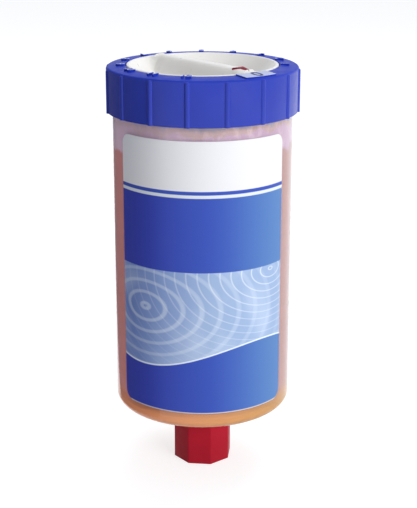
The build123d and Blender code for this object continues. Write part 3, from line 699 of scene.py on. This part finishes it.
def ring_plastic():
    """Blue plastic of the ring, satin at its side and matt on its top face."""
    finish = moulded(
        "ring_blue",
        (0.018, 0.042, 0.42),
        (0.015, 0.036, 0.38),
        roughness=(0.40, 0.52),
        Specular_IOR_Level=0.1,
        Coat_Roughness=0.25,
    )
    gloss = finish.range(finish.axis("Z"), RING_TOP_Z - 1.0 * MM, RING_TOP_Z - 0.5 * MM, 0.65, 0.0)
    finish.link(gloss, finish.shader.inputs["Coat Weight"])
    return finish


ring_blue = ring_plastic()
raised_print = moulded("raised_print", (0.42, 0.47, 0.68), (0.38, 0.43, 0.64), grain=PRINT_GRAIN)
zero_print = moulded(
    "zero_print", (0.02, 0.028, 0.14), (0.018, 0.024, 0.12), grain=PRINT_GRAIN, Specular_IOR_Level=0.05
)
dial_white = moulded(
    "dial_white", (0.80, 0.785, 0.75), (0.77, 0.75, 0.71), roughness=(0.26, 0.38)
)
pointer_red = moulded(
    "pointer_red",
    (0.24, 0.012, 0.032),
    (0.20, 0.010, 0.026),
    roughness=(0.5, 0.6),
    Specular_IOR_Level=0.08,
)
closure_red = moulded(
    "closure_red",
    (0.45, 0.013, 0.030),
    (0.40, 0.011, 0.026),
    roughness=(0.42, 0.56),
    Specular_IOR_Level=0.1,
)
cradle_grey = moulded("cradle_grey", (0.55, 0.54, 0.54), (0.5, 0.49, 0.49))
# The piston's mauve is darkened as painted shade under the ring.
piston_plastic = moulded(
    "piston_plastic", (0.44, 0.31, 0.42), (0.40, 0.28, 0.38), roughness=(0.4, 0.55)
)
resistor_dark = moulded(
    "resistor_dark", (0.02, 0.02, 0.022), (0.04, 0.04, 0.042), roughness=(0.4, 0.6)
)
cell_steel = metal("cell_steel", (0.62, 0.62, 0.64), (0.52, 0.52, 0.55), 0.22, (1, 1, 0.05))
screw_steel = metal("screw_steel", (0.58, 0.58, 0.6), (0.48, 0.48, 0.5), 0.3, (1, 1, 0.2))
contact_brass = metal("contact_brass", (0.72, 0.5, 0.2), (0.62, 0.42, 0.16), 0.25, (0.2, 1, 1))


# ---- Container and what is in it ---------------------------------------------------------------------
def thread_crest(z):
    return THREAD_END_RADIUS + min(z - OUTLET_Z, THREAD_LENGTH) * THREAD_TAPER


def cut_thread(shell):
    """Sinks the right-hand helical thread into the outlet, running out at both ends."""
    for point in shell.data.vertices:
        radius = math.hypot(point.co.x, point.co.y)
        z = point.co.z
        on_thread = OUTLET_Z + LEAD_CHAMFER <= z <= THREAD_TOP_Z + WELD
        if radius < thread_crest(z) - THREAD_SKIN or not on_thread:
            continue
        turn_share = math.atan2(point.co.y, point.co.x) / (2 * math.pi)
        phase = (z / THREAD_PITCH - turn_share) % 1.0
        crest = min(1.0, max(0.0, 1.5 - 3.0 * abs(2 * phase - 1)))    # flat crest, sloped flanks
        fade = min(1.0, (THREAD_TOP_Z - z) / THREAD_PITCH)
        sunk = THREAD_DEPTH * (1 - crest) * fade
        point.co.x *= (radius - sunk) / radius
        point.co.y *= (radius - sunk) / radius


def clear_container():
    """Clear cartridge: wall, floor, rounded foot, snap bead and threaded outlet."""
    bore = BODY_RADIUS - BODY_WALL
    section = profile("clear_container", [
        (OUTLET_BORE, OUTLET_Z, 0),
        (thread_crest(OUTLET_Z) - LEAD_CHAMFER, OUTLET_Z, 0),
        (thread_crest(OUTLET_Z), OUTLET_Z + LEAD_CHAMFER, 0),
        (thread_crest(THREAD_TOP_Z), THREAD_TOP_Z, 0),
        (thread_crest(THREAD_TOP_Z), BASE_Z, 0),
        (BODY_RADIUS, BASE_Z, BODY_CORNER),
        (BODY_RADIUS, SNAP_Z - SNAP_BEAD_HALF, 0),
        (BODY_RADIUS + SNAP_RISE, SNAP_Z, SNAP_ROUND),
        (BODY_RADIUS, SNAP_Z + SNAP_BEAD_HALF, 0),
        (BODY_RADIUS, RIM_Z, RIM_ROUND),
        (bore, RIM_Z, RIM_ROUND),
        (bore, FLOOR_Z, FLOOR_BEVEL),
        (OUTLET_BORE, FLOOR_Z, OUTLET_MOUTH_ROUND),
    ])
    thread_low = (thread_crest(OUTLET_Z) - WELD, OUTLET_Z + LEAD_CHAMFER - WELD)
    thread_high = (thread_crest(THREAD_TOP_Z) + WELD, THREAD_TOP_Z + WELD)
    divide(section, thread_low, thread_high, THREAD_CUTS)
    shell = turn(section)
    cut_thread(shell)
    close_up(shell)
    smooth(shell)
    paint(shell, clear_plastic())
    return shell


def lubricant_charge():
    """The charge, wetting the container's wall; its foot is as wide as the clear foot shows it."""
    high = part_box("lubricant_fill")[1]
    radius = high.x + CHARGE_WETTING
    foot_radius = BODY_RADIUS - CHARGE_SKIN
    charge = turned("lubricant_charge", [
        (0, BASE_Z + CHARGE_SKIN, 0),
        (foot_radius, BASE_Z + CHARGE_SKIN, BODY_CORNER - CHARGE_SKIN),
        (foot_radius, FLOOR_Z + CHARGE_FOOT_HEIGHT, CHARGE_ROUND),
        (radius, FLOOR_Z + CHARGE_WALL_HEIGHT, CHARGE_ROUND),
        (radius, high.z, CHARGE_TOP_ROUND),
        (0, high.z, 0),
    ])
    paint(charge, lubricant_paste())
    return charge


def wall_smear():
    """Film of paste on the container's wall, from the charge up past the piston to the ring."""
    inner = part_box("piston")[1].x + FILM_INNER_GAP
    outer = BODY_RADIUS - BODY_WALL + FILM_WETTING
    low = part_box("piston")[0].z - FILM_LAP
    high = RING_Z - FILM_TOP_GAP
    return turned("wall_smear", [(inner, low, 0), (outer, low, 0), (outer, high, 0), (inner, high, 0)])


def wrap(piece, radius):
    """Bends a flat sheet, drawn in the XZ plane with Y as its thickness, round the Z axis."""
    for point in piece.data.vertices:
        azimuth = point.co.x / radius
        reach = radius - point.co.y
        point.co.x = math.sin(azimuth) * reach
        point.co.y = -math.cos(azimuth) * reach


def front_label_sheet():
    """Label with rounded corners, wrapped round the front of the container."""
    low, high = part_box("front_label")
    outer = BODY_RADIUS + LABEL_THICKNESS
    half = outer * math.asin(high.x / outer)
    height = high.z - low.z
    deselect()
    bpy.ops.mesh.primitive_plane_add(
        size=1, location=(0, 0, (low.z + high.z) / 2), rotation=(math.pi / 2, 0, 0)
    )
    sheet = bpy.context.object
    sheet.name = "front_label_sheet"
    sheet.scale = (2 * half, height, 1)
    settle(sheet)
    edit(sheet)
    bpy.ops.mesh.select_all(action="SELECT")
    bpy.ops.mesh.bevel(
        affect="VERTICES",
        offset=LABEL_CORNER,
        offset_type="OFFSET",
        segments=LABEL_CORNER_STEPS,
    )
    for number in range(1, LABEL_STRIPS):
        bpy.ops.mesh.select_all(action="SELECT")
        place = half * (2 * number / LABEL_STRIPS - 1)
        bpy.ops.mesh.bisect(plane_co=(place, 0, 0), plane_no=(1, 0, 0))
    bpy.ops.object.mode_set(mode="OBJECT")
    layer = sheet.data.uv_layers.new(name="print")
    for loop in sheet.data.loops:
        place = sheet.data.vertices[loop.vertex_index].co
        layer.data[loop.index].uv = (place.x / (2 * half) + 0.5, (place.z - low.z) / height)
    wrap(sheet, outer)
    apply_modifier(sheet, "SOLIDIFY", thickness=LABEL_THICKNESS, offset=-1)
    smooth(sheet)
    paint(sheet, label_print(2 * half, height))
    return sheet


# ---- Closure -----------------------------------------------------------------------------------------
def octagon_closure():
    """Octagonal screw closure: bevelled prism with a bore that follows the taper thread."""
    low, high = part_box("closure_cap")
    wide = thread_crest(THREAD_TOP_Z) + CLOSURE_CLEARANCE
    narrow = thread_crest(OUTLET_Z) + CLOSURE_CLEARANCE
    deselect()
    bpy.ops.mesh.primitive_cylinder_add(
        vertices=8,
        radius=(wide + CLOSURE_WALL) / math.cos(math.pi / 8),
        depth=high.z - low.z,
        location=(0, 0, (low.z + high.z) / 2),
        rotation=(0, 0, math.radians(CLOSURE_TURN)),
    )
    closure = bpy.context.object
    closure.name = "octagon_closure"
    settle(closure)
    edit(closure, "EDGE")
    bpy.ops.mesh.select_all(action="SELECT")
    bpy.ops.mesh.bevel(offset=CLOSURE_EDGE, offset_type="OFFSET", segments=3)
    bpy.ops.object.mode_set(mode="OBJECT")
    bore = turned("closure_bore", [
        (0, low.z + CLOSURE_BASE, 0),
        (narrow, low.z + CLOSURE_BASE, 0),
        (narrow, OUTLET_Z, 0),
        (wide, THREAD_TOP_Z, 0),
        (wide, high.z + CUT_OVERSHOOT, 0),
        (0, high.z + CUT_OVERSHOOT, 0),
    ], CLOSURE_STEPS)
    combine(closure, bore, "DIFFERENCE")
    close_up(closure)
    smooth(closure, CLOSURE_SMOOTH)
    paint(closure, closure_red.material)
    return closure


# ---- Top ring ----------------------------------------------------------------------------------------
def ring_top_height(radius):
    share = (radius - RING_OPENING) / (RING_RADIUS - RING_OPENING)
    return RING_TOP_Z - RING_FALL * share


def grip_rib():
    """One half-round rib, domed at its top."""
    top = ring_top_height(RING_RADIUS) - RIB_TOP_DROP
    deselect()
    bpy.ops.mesh.primitive_cylinder_add(
        vertices=RIB_STEPS,
        radius=RIB_RADIUS,
        depth=top - RING_Z,
        location=(RING_RADIUS + RIB_PROUD - RIB_RADIUS - RIB_INSET, 0, (top + RING_Z) / 2),
    )
    rib = bpy.context.object
    settle(rib)
    pick(rib, lambda face: face.normal.z > 0.9, "FACE")
    bpy.ops.mesh.bevel(offset=RIB_DOME, offset_type="OFFSET", segments=4)
    bpy.ops.object.mode_set(mode="OBJECT")
    return rib


def spread(piece, azimuths):
    """Copies of a piece drawn at +X, one at each azimuth, joined to one object."""
    copies = []
    for azimuth in azimuths:
        copy = piece.copy()
        copy.data = piece.data.copy()
        bpy.context.collection.objects.link(copy)
        copy.rotation_euler.z = turn_to(azimuth)
        settle(copy)
        copies.append(copy)
    bpy.data.objects.remove(piece)
    return join(copies[0], *copies[1:])


def zero_pad():
    """Raised pad of the zero mark: its top falls with the ring's, its ends follow the ring's edges."""
    inner, outer = PAD_INNER_RADIUS, PAD_OUTER_RADIUS
    low = RING_TOP_Z - PAD_ROOT
    high = RING_TOP_Z + PAD_PROUD
    band = turned("pad_band", [
        (inner, low, 0),
        (outer, low, 0),
        (outer, ring_top_height(outer) + PAD_PROUD, 0),
        (inner, ring_top_height(inner) + PAD_PROUD, 0),
    ])
    deselect()
    bpy.ops.mesh.primitive_cube_add(size=1, location=((inner + outer) / 2, 0, (low + high) / 2))
    pad = bpy.context.object
    pad.scale = (2 * (outer - inner), PAD_WIDTH, 2 * (high - low))
    settle(pad)
    combine(pad, band, "INTERSECT")
    sharp = math.radians(50)
    apply_modifier(pad, "BEVEL", width=PAD_EDGE, segments=3, limit_method="ANGLE", angle_limit=sharp)
    pad.rotation_euler.z = turn_to(PAD_AZIMUTH)
    settle(pad)
    return pad


def print_raised(piece, raised):
    """Blue plastic all over, with the pale print on the faces that raised(face) names."""
    paint(piece, ring_blue.material, raised_print.material)
    for face in piece.data.polygons:
        face.material_index = 1 if raised(face) else 0


def on_pad_top(face):
    """True for an upward face that stands as far above the ring's top as the zero pad."""
    rise = face.center.z - ring_top_height(math.hypot(face.center.x, face.center.y))
    return rise > PAD_PROUD - PAD_PRINT_DEPTH and face.normal.z > 0.6


def ribbed_ring():
    """Blue top ring: turned body with its snap groove, grip ribs and the zero pad."""
    ring = turned("ribbed_ring", [
        (RING_BORE, RING_Z, RING_ROUND),
        (RING_RADIUS, RING_Z, RING_FOOT),
        (RING_RADIUS, ring_top_height(RING_RADIUS), RING_EDGE),
        (RING_OPENING, RING_TOP_Z, RING_ROUND),
        (RING_OPENING, RING_WEB_Z, 0),
        (RING_BORE, RING_WEB_Z, 0),
        (RING_BORE, SNAP_Z + SNAP_GROOVE_HALF, 0),
        (RING_BORE + SNAP_RISE, SNAP_Z, 0),
        (RING_BORE, SNAP_Z - SNAP_GROOVE_HALF, 0),
    ], RING_STEPS)
    pitch = 360 / RIB_COUNT
    ribs = spread(grip_rib(), [RIB_AZIMUTH + pitch * number for number in range(RIB_COUNT)])
    combine(ring, ribs, "UNION")
    combine(ring, zero_pad(), "UNION")
    close_up(ring)
    smooth(ring)
    print_raised(ring, on_pad_top)
    return ring


def raised_text(words, size, weight, azimuth, radius, low, high):
    """Solid lettering that reads from outside the ring, standing between two heights."""
    deselect()
    bpy.ops.object.text_add()
    text = bpy.context.object
    text.data.body = words
    text.data.size = size
    text.data.offset = weight
    text.data.align_x = "CENTER"
    text.data.align_y = "CENTER"
    text.data.extrude = (high - low) / 2
    text.data.resolution_u = 6
    text.location = direction(azimuth) * radius + Vector((0, 0, (low + high) / 2))
    text.rotation_euler.z = math.radians(azimuth)
    take(text)
    bpy.ops.object.convert(target="MESH")
    settle(text)
    close_up(text)
    return text


def scale_numerals():
    """Raised numerals of the dial's scale, printed on their tops."""
    foot = ring_top_height(NUMERAL_PLACE_RADIUS) - NUMERAL_ROOT
    top = ring_top_height(NUMERAL_PLACE_RADIUS) + NUMERAL_PROUD
    made = [
        raised_text(
            str(number + 1),
            NUMERAL_SIZE,
            NUMERAL_WEIGHT,
            NUMERAL_FIRST_AZIMUTH + NUMERAL_PITCH * number,
            NUMERAL_PLACE_RADIUS,
            foot,
            top,
        )
        for number in range(NUMERAL_COUNT)
    ]
    numerals = join(made[0], *made[1:])
    numerals.name = "scale_numerals"
    edit(numerals)
    bpy.ops.mesh.select_all(action="SELECT")
    bpy.ops.mesh.bisect(plane_co=(0, 0, top - PRINT_OVERLAP), plane_no=(0, 0, 1))
    bpy.ops.object.mode_set(mode="OBJECT")
    smooth(numerals)
    print_raised(numerals, lambda face: face.center.z > top - PRINT_OVERLAP + WELD)
    return numerals


def zero_figure():
    """The printed zero on its pad, following the pad's fall."""
    middle = (PAD_INNER_RADIUS + PAD_OUTER_RADIUS) / 2
    figure = raised_text("0", ZERO_SIZE, ZERO_WEIGHT, PAD_AZIMUTH, middle, 0, ZERO_THICKNESS)
    figure.name = "zero_figure"
    for point in figure.data.vertices:
        point.co.z += ring_top_height(math.hypot(point.co.x, point.co.y)) + PAD_PROUD - ZERO_SUNK
    paint(figure, zero_print.material)
    return figure


# ---- Dial --------------------------------------------------------------------------------------------
def soft_max(a, b, width):
    """The larger of two heights, blended over width where they are close."""
    share = max(width - abs(a - b), 0.0) / width
    return max(a, b) + share * share * width / 4


def grip_height(across, radius):
    """Height of the grip bar's skin at a distance from its centre line and from the axis."""
    slope = (GRIP_TOP_Z - BOWL_FLOOR_Z) / (GRIP_FOOT_HALF - GRIP_TOP_HALF)
    crest = GRIP_TOP_Z + GRIP_CREST_BLEND
    flank = min(crest, GRIP_TOP_Z - (abs(across) - GRIP_TOP_HALF) * slope)
    fall = (GRIP_TOP_Z - DIAL_TOP_Z) / (BOWL_RIM_RADIUS - GRIP_END_RADIUS)
    end = GRIP_TOP_Z - max(0.0, radius - GRIP_END_RADIUS) * fall
    return -soft_max(-flank, -end, GRIP_CREST_BLEND)


def raise_grip(dial):
    """Draws the grip bar up out of the bowl, with soft flanks that run into its floor and wall."""
    along = direction(DIAL_AZIMUTH)
    sideways = Vector((-along.y, along.x, 0))
    for point in dial.data.vertices:
        radius = math.hypot(point.co.x, point.co.y)
        if radius > BOWL_RIM_RADIUS - BOWL_SKIN or point.co.z < BOWL_FLOOR_Z - BOWL_SKIN:
            continue
        crest = grip_height(point.co.dot(sideways), radius)
        blend = min(GRIP_FOOT_BLEND, max(GRIP_END_BLEND, BOWL_RIM_RADIUS - radius))
        point.co.z = soft_max(point.co.z, crest, blend)


def setting_dial():
    """White time-setting dial: bowl with a grip bar, skirt and flange."""
    skirt_bore = DIAL_RADIUS - SKIRT_WALL
    slope = BOWL_DEPTH / (BOWL_RIM_RADIUS - BOWL_FLOOR_RADIUS)
    drop = DIAL_WALL * math.hypot(1, slope)
    under_z = BOWL_FLOOR_Z - DIAL_WALL
    under_radius = BOWL_FLOOR_RADIUS + (drop - DIAL_WALL) / slope
    skirt_top = BOWL_FLOOR_Z + (skirt_bore - BOWL_FLOOR_RADIUS) * slope - drop
    skirt_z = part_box("circuit_board")[1].z + SKIRT_GAP
    flange_radius = DIAL_RADIUS + FLANGE_REACH
    flange_low = RIM_Z + FLANGE_RIM_GAP
    flange_high = RING_WEB_Z - FLANGE_WEB_GAP
    section = profile("setting_dial", [
        (0, under_z, 0),
        (under_radius, under_z, 0),
        (skirt_bore, skirt_top, 0),
        (skirt_bore, skirt_z, 0),
        (DIAL_RADIUS, skirt_z, SKIRT_ROUND),
        (DIAL_RADIUS, flange_low, 0),
        (flange_radius, flange_low, 0),
        (flange_radius, flange_high, 0),
        (DIAL_RADIUS, flange_high, 0),
        (DIAL_RADIUS, DIAL_TOP_Z, DIAL_ROUND),
        (BOWL_RIM_RADIUS, DIAL_TOP_Z, DIAL_ROUND),
        (BOWL_FLOOR_RADIUS, BOWL_FLOOR_Z, BOWL_ROUND),
        (0, BOWL_FLOOR_Z, 0),
    ])
    floor_low = (-WELD, BOWL_FLOOR_Z - WELD)
    floor_high = (BOWL_FLOOR_RADIUS, BOWL_FLOOR_Z + WELD)
    divide(section, floor_low, floor_high, BOWL_FLOOR_CUTS)
    wall_low = (BOWL_FLOOR_RADIUS - BOWL_WALL_FOOT, BOWL_FLOOR_Z + 0.01 * MM)
    wall_high = (BOWL_RIM_RADIUS - BOWL_WALL_INSET, DIAL_TOP_Z)
    divide(section, wall_low, wall_high, BOWL_WALL_CUTS)
    dial = turn(section, DIAL_STEPS)
    raise_grip(dial)
    close_up(dial)
    smooth(dial, DIAL_SMOOTH)
    paint(dial, dial_white.material)
    return dial


def pointer():
    """Red pointer set into the end of the grip bar, its edges softened."""
    low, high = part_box("dial_arrow")
    middle = (0, 0, (low.z + high.z) / 2)
    deselect()
    bpy.ops.mesh.primitive_cylinder_add(vertices=3, radius=1, depth=high.z - low.z, location=middle)
    arrow = bpy.context.object
    arrow.name = "pointer"
    settle(arrow)
    for point in arrow.data.vertices:
        side = math.copysign(ARROW_WIDTH / 2, point.co.x)
        at_tip = point.co.y > 0
        point.co.x = ARROW_TIP_RADIUS if at_tip else ARROW_TIP_RADIUS - ARROW_LENGTH
        point.co.y = 0 if at_tip else side
    close_up(arrow)
    apply_modifier(arrow, "BEVEL", width=ARROW_EDGE, segments=3, limit_method="ANGLE")
    arrow.rotation_euler.z = turn_to(DIAL_AZIMUTH)
    settle(arrow)
    close_up(arrow)
    smooth(arrow)
    paint(arrow, pointer_red.material)
    return arrow


# ---- Assembly ----------------------------------------------------------------------------------------
def place(piece, body, slot, *nodes):
    """The piece moves with a body and stands for the CAD nodes, which are hidden; slot is not used."""
    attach(piece, body)
    if nodes:
        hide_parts(*nodes)
    return piece


place(clear_container(), "cartridge", "clear_plastic", "container")

charge = lubricant_charge()
place(charge, "cartridge", "lubricant", "lubricant_fill")

smeared = wall_film()
smear = wall_smear()
paint(smear, smeared)
place(smear, "cartridge", "lubricant")

place(front_label_sheet(), "cartridge", "label_paper", "front_label")
place(octagon_closure(), "closure", "closure_red", "closure_cap")
place(ribbed_ring(), "cartridge", "ring_blue", "top_ring")
place(scale_numerals(), "cartridge", "ring_blue")
place(zero_figure(), "cartridge", "ring_blue")
place(setting_dial(), "dial", "dial_white", "time_dial")
place(pointer(), "dial", "pointer_red", "dial_arrow")

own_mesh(charge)

inner_finishes = {
    rubber_black(): [
        "cap_gasket",
        "dial_seal",
        "housing_seal",
        "piston_seal_lower",
        "piston_seal_upper",
    ],
    contact_brass.material: [
        "contact_wiper",
        "cell_bridge",
        "cell_contact_left",
        "cell_contact_right",
        "setting_pads",
    ],
    smeared: ["generator_housing"],
    cradle_grey.material: ["cell_cradle"],
    membrane_weave(): ["vent_membrane"],
    cell_steel.material: ["gas_cell_left", "gas_cell_right"],
    circuit_green(): ["circuit_board"],
    resistor_dark.material: ["time_resistors"],
    screw_steel.material: ["board_screws"],
    piston_plastic.material: ["piston"],
}
for material, nodes in inner_finishes.items():
    for node in nodes:
        paint(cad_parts[node], material)


# ---- Floor, light and camera -------------------------------------------------------------------------
def seen_directly(tree):
    """1 where the camera, a mirror or glass looks at the surface, 0 for light that falls on things."""
    rays = tree.nodes.new("ShaderNodeLightPath")
    share = rays.outputs["Is Camera Ray"]
    for name in ("Is Glossy Ray", "Is Transmission Ray"):
        either = tree.nodes.new("ShaderNodeMath")
        either.operation = "MAXIMUM"
        tree.links.new(share, either.inputs[0])
        tree.links.new(rays.outputs[name], either.inputs[1])
        share = either.outputs[0]
    return share


def matt_panel(name, size, where, tilt, cuts, colour, **more):
    """Flat matt panel in one colour, for the studio; gives back the piece and its finish."""
    deselect()
    bpy.ops.mesh.primitive_plane_add(size=size, location=where, rotation=tilt)
    panel = bpy.context.object
    panel.name = name
    settle(panel)
    edit(panel)
    bpy.ops.mesh.select_all(action="SELECT")
    bpy.ops.mesh.subdivide(number_cuts=cuts)
    bpy.ops.object.mode_set(mode="OBJECT")
    finish = Finish(name, colour, 0.9, **more)
    paint(panel, finish.material)
    return panel, finish


def studio_floor():
    """Pale floor that looks white from the camera and still takes a soft shadow."""
    where = (0, 0, cad_box[0].z)
    colour = (0.45, 0.45, 0.46)
    level = (0, 0, 0)
    floor, finish = matt_panel(
        "studio_floor", FLOOR_SIZE, where, level, 4, colour, Specular_IOR_Level=0.1
    )
    finish.shader.inputs["Emission Color"].default_value = (1, 1, 1, 1)
    glow = finish.times(seen_directly(finish.tree), FLOOR_GLOW)
    finish.link(glow, finish.shader.inputs["Emission Strength"])


def studio_world():
    """White surroundings to look at; a dimmer, slightly cool sky to light the object."""
    world = bpy.data.worlds.new("studio_world")
    bpy.context.scene.world = world
    world.use_nodes = True
    tree = world.node_tree
    background = tree.nodes["Background"]
    background.inputs["Color"].default_value = (0.90, 0.93, 1.0, 1)
    strength = tree.nodes.new("ShaderNodeMapRange")
    strength.inputs["To Min"].default_value = WORLD_LIGHT
    strength.inputs["To Max"].default_value = 1.0
    tree.links.new(seen_directly(tree), strength.inputs["Value"])
    tree.links.new(strength.outputs[0], background.inputs["Strength"])


def softbox(name, azimuth, height, distance, size, power):
    """Square area lamp that faces the middle of the cartridge and leaves no highlight of its own."""
    data = bpy.data.lights.new(name, "AREA")
    data.size = size
    data.energy = power
    lamp = bpy.data.objects.new(name, data)
    lamp.visible_glossy = False
    bpy.context.collection.objects.link(lamp)
    target = (cad_box[0] + cad_box[1]) / 2
    lamp.location = direction(azimuth) * distance + Vector((0, 0, height))
    lamp.rotation_euler = (target - lamp.location).to_track_quat("-Z", "Y").to_euler()


def dark_flag():
    """Dark panel beside the object, out of the picture, for its shaded side to mirror."""
    upright = (math.pi / 2, 0, math.radians(FLAG_TURN))
    flag = matt_panel("dark_flag", FLAG_SIZE, FLAG_PLACE, upright, 2, (0.20, 0.19, 0.20))[0]
    flag.visible_camera = False
    flag.visible_diffuse = False
    flag.visible_transmission = False
    flag.visible_shadow = False


def product_camera():
    """Long lens from the front, looking down a little, with the picture framed by its shift."""
    data = bpy.data.cameras.new("product_camera")
    data.sensor_width = 36
    data.lens = CAMERA_LENS
    data.shift_x, data.shift_y = CAMERA_SHIFT
    camera = bpy.data.objects.new("product_camera", data)
    bpy.context.collection.objects.link(camera)
    camera.location = CAMERA_PLACE
    camera.rotation_euler = (math.radians(90 - CAMERA_PITCH), 0, 0)
    bpy.context.scene.camera = camera


studio_floor()
studio_world()
dark_flag()
softbox("key_right", azimuth=42, height=0.26, distance=0.80, size=0.50, power=5.5)
softbox("top_soft", azimuth=160, height=0.75, distance=0.35, size=0.6, power=3.2)
product_camera()
bpy.context.scene.view_settings.view_transform = "Standard"
